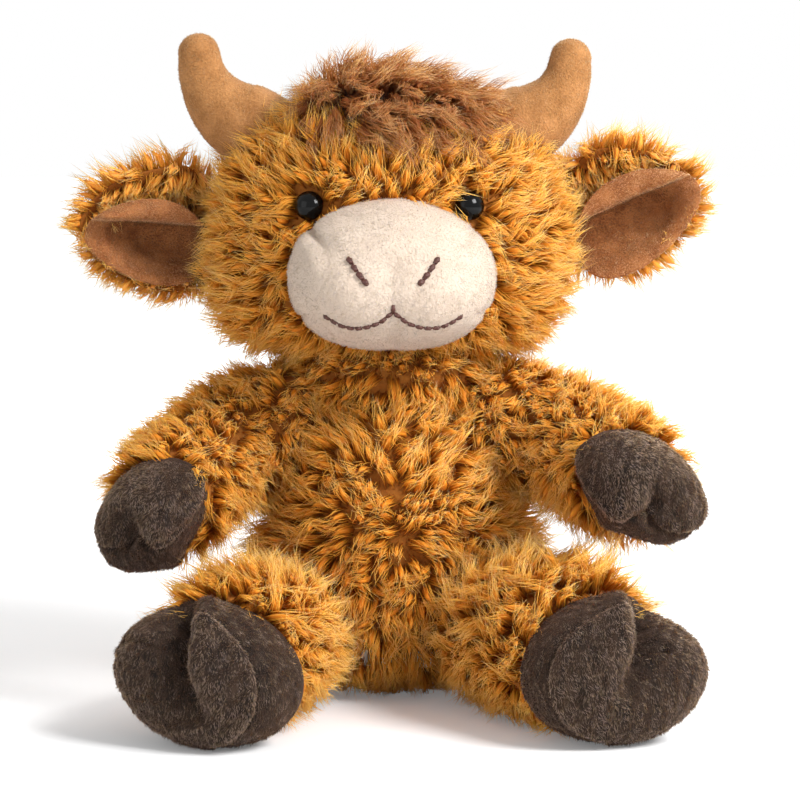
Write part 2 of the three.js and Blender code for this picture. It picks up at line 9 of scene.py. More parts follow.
import bpy
import numpy as np
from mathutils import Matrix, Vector


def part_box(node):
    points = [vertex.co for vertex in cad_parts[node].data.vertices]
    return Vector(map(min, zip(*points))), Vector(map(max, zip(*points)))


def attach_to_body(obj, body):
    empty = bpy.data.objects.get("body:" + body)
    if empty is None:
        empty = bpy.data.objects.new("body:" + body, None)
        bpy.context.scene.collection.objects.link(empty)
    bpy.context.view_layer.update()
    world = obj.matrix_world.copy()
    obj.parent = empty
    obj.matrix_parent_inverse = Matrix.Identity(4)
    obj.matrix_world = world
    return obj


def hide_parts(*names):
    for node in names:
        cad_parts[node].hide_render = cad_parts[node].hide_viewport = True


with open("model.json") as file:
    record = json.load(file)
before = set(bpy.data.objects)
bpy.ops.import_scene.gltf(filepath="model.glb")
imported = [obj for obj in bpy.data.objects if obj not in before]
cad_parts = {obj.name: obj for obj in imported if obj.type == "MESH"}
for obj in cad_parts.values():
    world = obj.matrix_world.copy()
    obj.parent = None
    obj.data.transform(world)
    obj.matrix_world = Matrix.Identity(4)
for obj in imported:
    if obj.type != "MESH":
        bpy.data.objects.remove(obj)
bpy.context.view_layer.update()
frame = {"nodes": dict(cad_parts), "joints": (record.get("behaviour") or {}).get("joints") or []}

# The camera looks a little down on the toy through a long lens, so that it is almost a side-on drawing.
# The floor is a white sheet that keeps the toy's shadow, under a large soft lamp and a pale sky.
CAMERA_DISTANCE = 1.300
CAMERA_ELEVATION = np.radians(6.5)
CAMERA_TARGET = Vector((0.0015, 0, 0.110))
VIEW_WIDTH = 0.304
SENSOR = 36

camera = bpy.data.objects.new("camera", bpy.data.cameras.new("camera"))
bpy.context.scene.collection.objects.link(camera)
bpy.context.scene.camera = camera
bpy.context.scene.view_settings.view_transform = "Standard"
camera.data.sensor_width = SENSOR
camera.data.lens = SENSOR * CAMERA_DISTANCE / VIEW_WIDTH
camera.data.clip_end = 20
towards = Vector((0, -np.cos(CAMERA_ELEVATION), np.sin(CAMERA_ELEVATION)))
camera.location = CAMERA_TARGET + CAMERA_DISTANCE * towards
camera.rotation_mode = "QUATERNION"
camera.rotation_quaternion = (-towards).to_track_quat("-Z", "Y")


def linear(code):
    """The linear colour of an sRGB hex value: a channel up to 0.04045 is divided by 12.92, and a higher
    one has 0.055 added, is divided by 1.055 and raised to the power 2.4."""
    channels = np.array([int(code[i : i + 2], 16) for i in (1, 3, 5)]) / 255
    curved = ((channels + 0.055) / 1.055) ** 2.4
    return (*np.where(channels <= 0.04045, channels / 12.92, curved), 1)


def add_node(tree, kind, inputs=None, **settings):
    """Adds a node with its settings, and gives each input, by name or number, a value or a link."""
    node = tree.nodes.new(kind)
    for name, value in settings.items():
        setattr(node, name, value)
    for name, value in (inputs or {}).items():
        if isinstance(value, bpy.types.NodeSocket):
            tree.links.new(value, node.inputs[name])
        else:
            node.inputs[name].default_value = value
    return node


def combine(tree, operation, first, second, kind="ShaderNodeMath", **settings):
    """The sum, product or the like of two values."""
    return add_node(tree, kind, {0: first, 1: second}, operation=operation, **settings).outputs[0]


def ranged(tree, value, before, after=(0, 1), **settings):
    """A value of one range, brought to another."""
    limits = dict(zip(("From Min", "From Max", "To Min", "To Max"), (*before, *after)))
    return add_node(tree, "ShaderNodeMapRange", {"Value": value, **limits}, **settings).outputs[0]


def own_place(tree):
    """A point's place in its object's own coordinates."""
    return tree.nodes.new("ShaderNodeTexCoord").outputs["Object"]


def new_material(name):
    """A bare material, its node tree and its output."""
    material = bpy.data.materials.new(name)
    material.use_nodes = True
    material.node_tree.nodes.clear()
    return material, material.node_tree, material.node_tree.nodes.new("ShaderNodeOutputMaterial")


def is_seen(tree):
    """1 where the camera, a mirror or glass looks straight at the surface, and 0 for the light it sends."""
    path = tree.nodes.new("ShaderNodeLightPath").outputs
    pair = combine(tree, "MAXIMUM", path["Is Camera Ray"], path["Is Glossy Ray"])
    return combine(tree, "MAXIMUM", pair, path["Is Transmission Ray"])


SKY_LIGHT, SKY_SEEN = 0.55, 1.0  # strength of its light, and how bright it looks
world = bpy.data.worlds.new("studio_sky")
bpy.context.scene.world = world
world.use_nodes = True
sky = world.node_tree
sky_strength = ranged(sky, is_seen(sky), (0, 1), (SKY_LIGHT, SKY_SEEN))
sky.nodes["Background"].inputs["Color"].default_value = (1, 1, 1, 1)
sky.links.new(sky_strength, sky.nodes["Background"].inputs["Strength"])


def area_lamp(name, place, aim, size, watts):
    """A square soft lamp of a size in metres that stands at a place and shines at a point."""
    lamp = bpy.data.objects.new(name, bpy.data.lights.new(name, "AREA"))
    bpy.context.scene.collection.objects.link(lamp)
    lamp.data.size = size
    lamp.data.energy = watts
    lamp.location = place
    lamp.rotation_mode = "QUATERNION"
    lamp.rotation_quaternion = (Vector(aim) - Vector(place)).to_track_quat("-Z", "Y")


area_lamp("key_lamp", (0.95, -0.8, 1.0), aim=(0, 0, 0.1), size=0.6, watts=32)
area_lamp("fill_lamp", (-1.0, -0.9, 0.5), aim=(0, 0, 0.1), size=0.9, watts=3)
area_lamp("rim_lamp", (0.4, 0.9, 1.0), aim=(0, 0, 0.12), size=0.6, watts=8)

SHEET_WHITE = (0.86, 0.86, 0.86, 1)
GLOW_REACH = (0.2, 0.9)  # metres from the toy between which the sheet fades into the sky
GLOW = (0.14, 0.7)  # near the toy and far from it
FLOOR_REACH = 4.0
floor_material, tree, output = new_material("white_sheet")
paper = add_node(tree, "ShaderNodeBsdfDiffuse", {"Color": SHEET_WHITE})
distance = add_node(tree, "ShaderNodeVectorMath", {0: own_place(tree)}, operation="LENGTH")
glow = ranged(tree, distance.outputs["Value"], GLOW_REACH, GLOW, interpolation_type="SMOOTHSTEP")
glow = combine(tree, "MULTIPLY", glow, is_seen(tree))
lift = add_node(tree, "ShaderNodeEmission", {"Color": (1, 1, 1, 1), "Strength": glow})
both = add_node(tree, "ShaderNodeAddShader", {0: paper.outputs[0], 1: lift.outputs[0]})
tree.links.new(both.outputs[0], output.inputs["Surface"])
floor_mesh = bpy.data.meshes.new("floor")
floor_corners = np.array([(-1, -1, 0), (1, -1, 0), (1, 1, 0), (-1, 1, 0)]) * FLOOR_REACH
floor_mesh.from_pydata(floor_corners, [], [(0, 1, 2, 3)])
floor = bpy.data.objects.new("floor", floor_mesh)
bpy.context.scene.collection.objects.link(floor)
floor_mesh.materials.append(floor_material)


# Torso: an upright egg of woven backing cloth, sewn from panels and stuffed with fibre over a bag of
# pellets. Its long pile is knitted into the backing and has curled into tufts, which stand up and out
# above a whirl on the belly and hang down below it.
PILE_DEPTH = 6.0


def cad_box(*nodes):
    """The lowest and highest corner of some CAD nodes together, in millimetres."""
    boxes = np.array([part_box(node) for node in nodes]) * 1000
    return boxes[:, 0].min(0), boxes[:, 1].max(0)


def joint_place(name):
    """The centre of a joint, in millimetres."""
    return np.array(next(j["pos_m"] for j in frame["joints"] if j["name"] == name)) * 1000


def unit(vectors):
    """Vectors made one long."""
    return vectors / np.maximum(np.linalg.norm(vectors, axis=-1, keepdims=True), 1e-9)


def swung(turn, side, over):
    """The direction a turn away from side, towards over."""
    return np.cos(turn) * side + np.sin(turn) * over


def turns(around):
    """Evenly spaced turns of a full circle."""
    return np.linspace(0, 2 * np.pi, around, endpoint=False)


def bell(distance, width):
    """A smooth hill: one at no distance, and 1/e at a width."""
    return np.exp(-((distance / width) ** 2))


def step_up(distance, width):
    """A smooth step from zero to one over a few widths."""
    return 1 / (1 + np.exp(np.clip(-distance / width, -40, 40)))


def ramp(value, start, end):
    """A straight ramp from zero at the start to one at the end, level outside them."""
    return np.clip((value - start) / (end - start), 0, 1)


def power(value, share):
    """A signed power: the size is raised to the share and the sign stays."""
    return np.sign(value) * np.abs(value) ** share


def closed_rows(rows):
    """Points and faces of a closed form. Rows is a grid of rings by points round, whose first and last
    rings are single points, given as rings of equal points."""
    rings, around = rows.shape[:2]
    points = np.concatenate([rows[0, :1], rows[1:-1].reshape(-1, 3), rows[-1, :1]])
    ring, step = np.meshgrid(np.arange(rings - 3), np.arange(around), indexing="ij")
    near = 1 + ring * around + step
    beside = 1 + ring * around + (step + 1) % around
    quads = np.stack([near, beside, beside + around, near + around], -1).reshape(-1, 4)
    step = np.arange(around)
    following = (step + 1) % around
    last = 1 + (rings - 3) * around
    first_fan = np.stack([np.zeros_like(step), 1 + following, 1 + step], -1)
    last_fan = np.stack([np.full_like(step, len(points) - 1), last + step, last + following], -1)
    return points, np.concatenate([first_fan, last_fan]), quads


def ovoid(centre, semi, full, taper=0.0, *, rings, around):
    """A full, rounded form as rows: x, y and z are the half sizes times cosines and sines of a rise from
    pole to pole and a turn round it, raised to a share below one, and the width falls by the taper
    from the middle to the top."""
    rise = np.linspace(-np.pi / 2, np.pi / 2, rings + 1)[:, None]
    turn = turns(around)[None, :]
    reach = power(np.cos(rise), full)
    reach[[0, -1]] = 0
    height = power(np.sin(rise), full)
    width = reach * (1 - taper * height)
    round_it = [width * np.cos(turn), reach * np.sin(turn), height + 0 * turn]
    return np.stack(round_it, -1) * semi + centre


def inside(points, centre, semi, full, taper):
    """Whether points lie in an ovoid: the shares of its half sizes, each raised to two over full, sum
    to less than one."""
    share = (points - centre) / semi
    wide = np.maximum(1 - taper * np.clip(share[:, 2], -1, 1), 0.2)
    flat = (share[:, 0] / wide) ** 2 + share[:, 1] ** 2
    return flat ** (1 / full) + np.abs(share[:, 2]) ** (2 / full) < 1


def mesh_piece(name, points, triangles, quads=None, *, material, strand_uv=None):
    """A new object at the origin, from points in millimetres and faces. Strand_uv is a place on the map
    that the fur's colour follows, for each point."""
    quads = np.zeros((0, 4), int) if quads is None else quads
    corners = np.concatenate([triangles.ravel(), quads.ravel()]).astype(np.int32)
    starts = np.concatenate([3 * np.arange(len(triangles)), 3 * len(triangles) + 4 * np.arange(len(quads))])
    mesh = bpy.data.meshes.new(name)
    mesh.vertices.add(len(points))
    mesh.vertices.foreach_set("co", (points / 1000).astype(np.float32).ravel())
    mesh.loops.add(len(corners))
    mesh.polygons.add(len(starts))
    mesh.polygons.foreach_set("loop_start", starts.astype(np.int32))
    mesh.polygons.foreach_set("vertices", corners)
    if strand_uv is not None:
        layer = mesh.uv_layers.new(name="OFBake")
        layer.uv.foreach_set("vector", strand_uv[corners].astype(np.float32).ravel())
    mesh.update(calc_edges=True)
    mesh.validate()
    mesh.shade_smooth()
    mesh.materials.append(material)
    piece = bpy.data.objects.new(name, mesh)
    bpy.context.scene.collection.objects.link(piece)
    return piece


def point_normals(points, triangles):
    """The outward direction at each point: the sum of its faces' directions, the larger faces more."""
    a, b, c = (points[triangles[:, i]] for i in range(3))
    across = np.cross(b - a, c - a)
    total = np.stack(
        [np.bincount(triangles.ravel(), np.repeat(across[:, i], 3), len(points)) for i in range(3)], -1
    )
    return unit(total)


def as_triangles(triangles, quads):
    """All faces as triangles."""
    return np.concatenate([triangles, quads[:, [0, 1, 2]], quads[:, [0, 2, 3]]])


def face_areas(points, triangles):
    """The area of each triangle."""
    a, b, c = (points[triangles[:, i]] for i in range(3))
    return np.linalg.norm(np.cross(b - a, c - a), axis=1) / 2


def random_places(rng, surface, number, keep):
    """Random places on a closed surface, a triangle's chance being its area, and the outward direction at
    each. Keep, a function of places, may leave some out."""
    points, triangles, quads = surface
    triangles = as_triangles(triangles, quads)
    normals = point_normals(points, triangles)
    area = face_areas(points, triangles)
    pick = triangles[rng.choice(len(triangles), number, p=area / area.sum())]
    share = rng.random((2, number, 1))
    share = np.where(share.sum(0) > 1, 1 - share, share)
    weight = np.stack([1 - share[0] - share[1], share[0], share[1]], 1)
    places, outward = (points[pick] * weight).sum(1), unit((normals[pick] * weight).sum(1))
    if keep is None:
        return places, outward
    kept = keep(places)
    return places[kept], outward[kept]


LOCK_AREA = 0.80  # of a lock's own patch of the surface, in squared spacings
DRAWS = 5  # random places for each one that is chosen


def scatter(rng, surface, spacing, keep=None):
    """Evenly spread places on a closed surface, about a spacing apart, and the outward direction at each.
    Of many random places that keep leaves, the one that is furthest from all that are chosen is taken
    again and again."""
    points, triangles, quads = surface
    wanted = face_areas(points, as_triangles(triangles, quads)).sum() / (LOCK_AREA * spacing**2)
    drawn = int(wanted * DRAWS)
    places, outward = random_places(rng, surface, drawn, keep)
    wanted *= len(places) / drawn
    chosen = [0]
    gap = np.full(len(places), np.inf)
    while len(chosen) < wanted:
        gap = np.minimum(gap, ((places - places[chosen[-1]]) ** 2).sum(1))
        chosen.append(int(gap.argmax()))
    return places[chosen], outward[chosen]


def along_surface(directions, outward):
    """Directions laid into the surface, one long."""
    return unit(directions - (directions * outward).sum(-1, keepdims=True) * outward)


Locks = namedtuple("Locks", "places outward flow side spine tone")
SPINE_STEPS = 12
LENGTH_SPREAD = (0.8, 1.15)
TILT = 12  # degrees that whole locks lean more or less than they should, on average


def curled_locks(rng, places, outward, flow, length, lean=(12, 62), stray=45, curl=55, tone=(0.5, 0.18)):
    """The middle lines of locks of fur. A lock leaves its place near the surface's outward direction and
    leans over towards the flow, from the first to the second angle of lean, while it turns sideways by
    the curl times the square of the way along. Stray turns whole locks away from the flow."""
    count = len(places)
    length = np.broadcast_to(length, count) * rng.uniform(*LENGTH_SPREAD, count)
    flow = along_surface(flow + 0 * places, outward)
    side = np.cross(outward, flow)
    turn = np.radians(rng.normal(0, stray, count))[:, None]
    flow, side = swung(turn, flow, side), swung(turn, side, -flow)
    way = (np.arange(SPINE_STEPS) + 0.5) / SPINE_STEPS
    tilt = rng.normal(0, TILT, (count, 1))
    low, high = (np.broadcast_to(angle, count)[:, None] for angle in lean)
    angle = np.radians(np.clip(low + (high - low) * way**0.85 + tilt, 3, 100))[..., None]
    bend = np.radians(rng.normal(0, curl, (count, 1)) * way**2)[..., None]
    heading = swung(angle, outward[:, None], swung(bend, flow[:, None], side[:, None]))
    spine = np.concatenate([np.zeros((count, 1, 3)), np.cumsum(heading, 1)], 1) / SPINE_STEPS
    return Locks(places, outward, flow, side, spine * length[:, None, None], rng.normal(*tone, count))


def cones(rng, line, thick, facing, sides, shade, map_width):
    """Points, triangles and colour places of closed cones with some rings and a tip. Line holds the ring
    centres and the tip, and thick the radius at each ring. On the map, U runs from root to tip and V is
    the shade, spread over a width round the cone."""
    count, stations = line.shape[:2]
    rings = stations - 1
    heading = unit(np.gradient(line, axis=1))
    across = unit(np.cross(heading, facing[:, None] + 0.01))
    over = np.cross(heading, across)
    corner = 2 * np.pi * (np.arange(sides) / sides + rng.random((count, 1)))
    spoke = swung(corner[:, None, :, None], across[:, :-1, None], over[:, :-1, None])
    ring_points = line[:, :-1, None] + thick[..., None] * spoke
    points = np.concatenate([ring_points.reshape(count, -1, 3), line[:, -1:]], 1)

    ring, step = np.meshgrid(np.arange(rings - 1), np.arange(sides), indexing="ij")
    near, beside = (sides * ring + step).ravel(), (sides * ring + (step + 1) % sides).ravel()
    skin = np.concatenate(
        [np.stack([near, beside, beside + sides], -1), np.stack([near, beside + sides, near + sides], -1)]
    )
    step = np.arange(sides)
    last = sides * (rings - 1)
    tip = np.stack([last + step, last + (step + 1) % sides, np.full(sides, sides * rings)], -1)
    foot = np.stack([np.zeros(sides - 2, int), step[2:], step[1:-1]], -1)
    triangles = np.concatenate([skin, tip, foot]) + (sides * rings + 1) * np.arange(count)[:, None, None]

    along = np.append(np.repeat(np.arange(rings) / rings, sides), 1.0)
    along = along + np.append(np.tile(0.012 * (step % 2), rings), 0)
    beside = map_width * np.append(np.tile(np.cos(2 * np.pi * (step + 0.2) / sides), rings), 0)
    strand_uv = np.stack([along + 0 * shade[:, None], shade[:, None] + beside], -1)
    return points.reshape(-1, 3), triangles.reshape(-1, 3), strand_uv.reshape(-1, 2)


CORE_REACH, CORE_RINGS, CORE_SIDES = 0.62, 3, 5


def lock_cores(rng, locks, radius):
    """The dense middle of each lock, where its fibres lie too close to tell apart: a lumpy, pointed form
    that ends at a share of the way along."""
    count = len(locks.places)
    stations = np.arange(CORE_RINGS + 1) / CORE_RINGS
    line = locks.places[:, None] + CORE_REACH * locks.spine[:, :: SPINE_STEPS // CORE_RINGS]
    line[..., 2] = np.maximum(line[..., 2], 0.4 * radius)
    profile = np.sin(np.pi * (0.2 + 0.8 * stations[:-1]) ** 0.8) ** 0.8
    thick = radius * profile[:, None] * rng.uniform(0.75, 1.2, (count, CORE_RINGS, CORE_SIDES))
    shade = np.clip(locks.tone, 0.05, 0.95)
    points, triangles, strand_uv = cones(rng, line, thick, locks.outward, CORE_SIDES, shade, 0.03)
    # The cores take only the darker root part of the colour ramp: painted shade inside the dense lock.
    return points, triangles, strand_uv * [0.45, 1]


def lock_fibres(rng, locks, count, rings, radius, spread, frizz, gather=0.6, reach=(0.7, 1.12)):
    """Single fibres round the middle line of each lock. A fibre keeps its own offset from that line at
    the root, loses it towards the tip by the share to which the lock gathers, and wanders by the frizz."""
    number = len(locks.places)
    stations = np.arange(rings + 1) / rings
    distance = spread * rng.uniform(0.45, 1, (number, count, 1, 1)) ** 0.5
    round_lock = 2 * np.pi * rng.random((number, count, 1, 1))
    offset = distance * swung(round_lock, locks.flow[:, None, None], locks.side[:, None, None])
    gathered = (1 - gather * stations**1.2)[:, None]
    share = rng.uniform(*reach, (number, count, 1, 1))
    wander = frizz * rng.normal(0, 1, (number, count, rings + 1, 3)) * (stations**1.3)[:, None]
    spine = locks.spine[:, None, :: SPINE_STEPS // rings]
    line = locks.places[:, None, None] + offset * gathered + share * spine + wander
    line = line.reshape(-1, rings + 1, 3)
    line[..., 2] = np.maximum(line[..., 2], 2 * radius)
    thick = radius * rng.uniform(0.75, 1.2, len(line))[:, None] * (1 - 0.45 * stations[:-1] ** 2)
    shade = np.repeat(locks.tone, count) + rng.normal(0, 0.12, len(line))
    facing = np.repeat(locks.outward, count, 0)
    thick = np.repeat(thick[..., None], 3, 2)
    return cones(rng, line, thick, facing, 3, np.clip(shade, 0.03, 0.97), 0.008)


def long_pile(rng, places, outward, flow, length, core=1.4, fibres=19, **shape):
    """The fur of a skin: at each place a lock with its dense middle and the fibres round it."""
    locks = curled_locks(rng, places, outward, flow, length, **shape)
    return joined([
        lock_cores(rng, locks, core),
        lock_fibres(
            rng, locks, fibres, rings=2, radius=0.17, spread=2.9, gather=0.4, frizz=1.2, reach=(0.6, 1.1)
        ),
    ])


def joined(parts):
    """Several forms as one. Each holds points, faces that count from its own first point, and perhaps
    other values."""
    starts = np.cumsum([0] + [len(part[0]) for part in parts[:-1]])
    return tuple(
        np.concatenate([field + start * (field.dtype.kind == "i") for field, start in zip(fields, starts)])
        for fields in zip(*parts)
    )


def attach(piece, slot, body, *nodes):
    """Hides the CAD nodes that a piece stands for, and makes it ride a body. Slot is not used."""
    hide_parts(*nodes)
    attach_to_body(piece, body)


def fur_piece(name, strands, material, slot, body, *nodes):
    """A piece made of strands, none of which goes through the floor."""
    points, triangles, strand_uv = strands
    points[:, 2] = np.maximum(points[:, 2], 0.05)
    attach(mesh_piece(name, points, triangles, material=material, strand_uv=strand_uv), slot, body, *nodes)


def padded_piece(name, surface, material, slot, body, *nodes, fill):
    """A stuffed piece with a closed surface."""
    piece = mesh_piece(name, *surface, material=material)
    attach(piece, slot, body, *nodes)


def waves(rng, places, length):
    """A smooth random value about zero at each place: the mean of twelve waves of about a length, each in
    a direction of its own, scaled to a spread of one."""
    ways = unit(rng.normal(size=(12, 3))) * 2 * np.pi / (length * rng.uniform(0.6, 1.6, (12, 1)))
    return np.sin(places @ ways.T + rng.uniform(0, 2 * np.pi, 12)).sum(1) / np.sqrt(6)


def finish_cloth(tree, output, share, height, deep, pale, relief, strength=1.0, **values):
    """Ends a material: a deep and a pale colour mixed by a share, on a surface that the height raises by
    up to the relief, in metres. Values are the shader's others, with _ for a space in their names."""
    colour = add_node(tree, "ShaderNodeMix", {0: share, 6: linear(deep), 7: linear(pale)}, data_type="RGBA")
    bump = add_node(tree, "ShaderNodeBump", {"Height": height, "Distance": relief, "Strength": strength})
    inputs = {name.replace("_", " "): value for name, value in values.items()}
    shader = add_node(
        tree, "ShaderNodeBsdfPrincipled",
        {"Base Color": colour.outputs[2], "Normal": bump.outputs[0], **inputs},
    )
    tree.links.new(shader.outputs[0], output.inputs["Surface"])


def cloth_material(name, deep, pale, relief, roughness, kind="ShaderNodeTexNoise", **grain):
    """A cloth, fibre or thread whose grain, a texture, mixes its two colours and raises its surface. Grain
    holds the texture's values, with _ for a space in their names."""
    material, tree, output = new_material(name)
    inputs = {name.replace("_", " "): value for name, value in grain.items()}
    texture = add_node(tree, kind, {"Vector": own_place(tree), **inputs})
    share = texture.outputs["Fac"]
    finish_cloth(tree, output, share, share, deep, pale, relief, Roughness=roughness)
    return material


white_fibre = cloth_material(
    "white_polyester_fibre", "#cfcdc6", "#f2f1ec", relief=0.0006, roughness=0.9, kind="ShaderNodeTexWave",
    Scale=90.0, Distortion=22.0, Detail=4.0, Detail_Scale=2.5,
)
LUMP, LUMP_LENGTH = 0.02, 18  # the share of the width that a lump stands out, and its length
FILLING_SHORTER = 0.98


def filling(name, rows, body, *nodes, share):
    """Loose fibre stuffing: every second point of the rows of the skin round it, without those at the
    ends, drawn in to a share of the distance from each ring's middle and with soft lumps."""
    rows = rows[4:-4:2, ::2]
    middle = rows.mean(1, keepdims=True)
    lumps = waves(np.random.default_rng(81), rows.reshape(-1, 3), LUMP_LENGTH).reshape(*rows.shape[:2], 1)
    rows = middle + (rows - middle) * share * (1 + LUMP * lumps)
    rows[[0, -1]] = middle[[0, -1]]
    whole = rows.mean((0, 1))
    surface = closed_rows(whole + (rows - whole) * FILLING_SHORTER)
    padded_piece(name, surface, white_fibre, "stuffing", body, *nodes, fill=0.75)


STREAKS = (4.0, 260.0, 1.0)  # how often the dye changes along a fibre and from fibre to fibre


def pile_material(name, dark_stops, light_stops, sheen=0.1, sheen_tint="#e8a54a"):
    """Dyed polyester pile. The colour runs from root to tip along U, between a dark and a light dye lot
    by V. The roots are darker as painted shade deep in the pile, and the tips paler as painted light.
    Each list of stops holds places from root to tip and their colours."""
    material, tree, output = new_material(name)
    place = add_node(tree, "ShaderNodeUVMap", uv_map="OFBake")
    parts = add_node(tree, "ShaderNodeSeparateXYZ", {0: place.outputs[0]})
    ramps = []
    for stops in (dark_stops, light_stops):
        colours = add_node(tree, "ShaderNodeValToRGB", {0: parts.outputs[0]})
        elements = colours.color_ramp.elements
        while len(elements) < len(stops):
            elements.new(0.5)
        for element, (position, code) in zip(elements, stops):
            element.position = position
            element.color = linear(code)
        ramps.append(colours.outputs[0])
    drawn = combine(tree, "MULTIPLY", place.outputs[0], STREAKS, "ShaderNodeVectorMath")
    streaks = add_node(tree, "ShaderNodeTexNoise", {"Vector": drawn, "Scale": 1.0, "Detail": 2.0})
    shift = ranged(tree, streaks.outputs[0], (0.25, 0.75), (-0.4, 0.4))
    tone = combine(tree, "ADD", parts.outputs[1], shift, use_clamp=True)
    blend = add_node(tree, "ShaderNodeMix", {0: tone, 6: ramps[0], 7: ramps[1]}, data_type="RGBA")
    shader = add_node(
        tree, "ShaderNodeBsdfPrincipled",
        {
            "Base Color": blend.outputs[2], "Roughness": 0.6, "Specular IOR Level": 0.2,
            "Sheen Weight": sheen, "Sheen Roughness": 0.5, "Sheen Tint": linear(sheen_tint),
            "Subsurface Weight": 0.4, "Subsurface Radius": (1.0, 0.55, 0.2), "Subsurface Scale": 0.001,
        },
    )
    tree.links.new(shader.outputs[0], output.inputs["Surface"])
    return material


def backing_material(name, deep, pale):
    """Knitted backing between the tufts: dark, with pile roots that show as small flecks."""
    return cloth_material(name, deep, pale, relief=0.001, roughness=0.95, Scale=420.0, Detail=4.0)


ochre_pile = pile_material(
    "ochre_polyester_pile",
    [(0.0, "#803c04"), (0.3, "#ca7818"), (0.75, "#e89834"), (1.0, "#f4ac50")],
    [(0.0, "#9c5206"), (0.3, "#e8962a"), (0.75, "#ffb654"), (1.0, "#ffd08c")],
)
ochre_backing = backing_material("ochre_knitted_backing", "#743c08", "#ac6a1a")

BODY_FULL, BODY_TAPER = 0.72, 0.08
BODY_HALF_DEPTH = 44.0
NECK_GAP = 0.75  # from the neck joint up to the head's sphere and down to the torso's
neck_place = joint_place("head_turn")
body_top = neck_place[2] - NECK_GAP
body_centre = np.array([0, 0, body_top / 2])
body_semi = np.array([cad_box("body_skin")[1][0], BODY_HALF_DEPTH, body_top / 2])
SHOULDERS = {word: joint_place(f"arm_{word}_raise") for word in ("left", "right")}
HIPS = {word: joint_place(f"leg_{word}_spread") for word in ("left", "right")}
WHIRL = np.array([0, -BODY_HALF_DEPTH, 66.0])
NECK_CLEAR, SHOULDER_CLEAR, HIP_CLEAR = 20, 17, 20  # how far from a joint the fur starts
FLOOR_CLEAR = 2.5  # how far above the floor the lowest fur is rooted


def in_torso(places, depth):
    """Whether places lie at least a depth inside the torso."""
    return inside(places, body_centre, body_semi - depth, BODY_FULL, BODY_TAPER)


def body_open(places):
    """Where the torso's pile shows: outside the roots of the limbs and the neck."""
    clear = places[:, 2] > FLOOR_CLEAR
    roots = [(neck_place, NECK_CLEAR)]
    roots += [(place, SHOULDER_CLEAR) for place in SHOULDERS.values()]
    roots += [(place, HIP_CLEAR) for place in HIPS.values()]
    for place, reach in roots:
        clear &= np.linalg.norm(places - place, axis=1) >= reach
    return clear


HIP_SWELL = 0.12  # how much wider the seated body is low down, where it spreads over the legs
HIP_SWELL_AT, HIP_SWELL_HEIGHT = 46, 22
SEAT = 0.6  # how high the cloth under the seated toy lies
body_rows = ovoid(body_centre, body_semi - PILE_DEPTH, BODY_FULL, BODY_TAPER, rings=36, around=72)
body_rows[..., 0] *= 1 + HIP_SWELL * bell(body_rows[..., 2] - HIP_SWELL_AT, HIP_SWELL_HEIGHT)
body_rows[..., 2] = np.maximum(body_rows[..., 2], SEAT)
body_surface = closed_rows(body_rows)
padded_piece("torso_backing", body_surface, ochre_backing, "long_pile_fur", "torso", "body_skin", fill=0.75)
filling("torso_filling", body_rows, "torso", "body_stuffing", share=0.93)

# Front and back of the torso's fur: longer under the whirl, at the flanks beside the legs and on the
# shoulders, and steeper there and on the whirl itself.
DENSE, THIN = 19, 16  # fibres of a lock where the photograph shows it, and behind
BODY_FUR = 14.0
rng = np.random.default_rng(11)
places, outward = scatter(rng, body_surface, spacing=5.4, keep=body_open)
away = places - WHIRL
below = ramp(places[:, 2], WHIRL[2], WHIRL[2] - 25)[:, None]
flow = unit(away) * (1 - 0.7 * below) + np.array([0, 0, -1.0]) * below
beside = ramp(np.abs(outward[:, 0]), 0.45, 0.95) * ramp(places[:, 2], 80, 50)
shoulder = ramp(places[:, 2], 88, 106) * ramp(np.abs(places[:, 0]), 14, 26)
length = BODY_FUR + 2.5 * below[:, 0] + 6 * beside + 7 * shoulder
near_whirl = bell(np.linalg.norm(away, axis=1), 14)
lean = (12 - 6 * np.maximum(beside, shoulder), 62 - 22 * beside - 34 * shoulder - 34 * near_whirl)
# The torso's fur takes a paler mix of the dye lots than the head's: painted light against the head's shade on
# the belly.
for half, chosen, fibres in (("front", places[:, 1] < 0, DENSE), ("back", places[:, 1] >= 0, THIN)):
    strands = long_pile(
        rng, places[chosen], outward[chosen], flow[chosen], length[chosen],
        fibres=fibres, lean=[a[chosen] for a in lean], tone=(0.67, 0.18),
    )
    fur_piece(f"torso_fur_{half}", strands, ochre_pile, "long_pile_fur", "torso", "body_skin")


# Neck: the stuffed joint between torso and head, whose fur closes the gap while the head turns or nods.
NECK_SEMI = np.array([34.0, 30.0, 18.0])
NECK_BAND = 11  # half the height of the band of fur round it
neck_surface = closed_rows(ovoid(neck_place, NECK_SEMI, 1.0, rings=24, around=64))
padded_piece("neck_backing", neck_surface, ochre_backing, "long_pile_fur", "neck", "neck_stuffing", fill=0.7)
rng = np.random.default_rng(13)
places, outward = scatter(
    rng, neck_surface, spacing=5.6, keep=lambda at: np.abs(at[:, 2] - neck_place[2]) < NECK_BAND
)
strands = long_pile(rng, places, outward, np.array([0, 0, -1.0]), length=13.5, lean=(5, 50))
fur_piece("neck_fur", strands, ochre_pile, "long_pile_fur", "neck", "neck_stuffing")


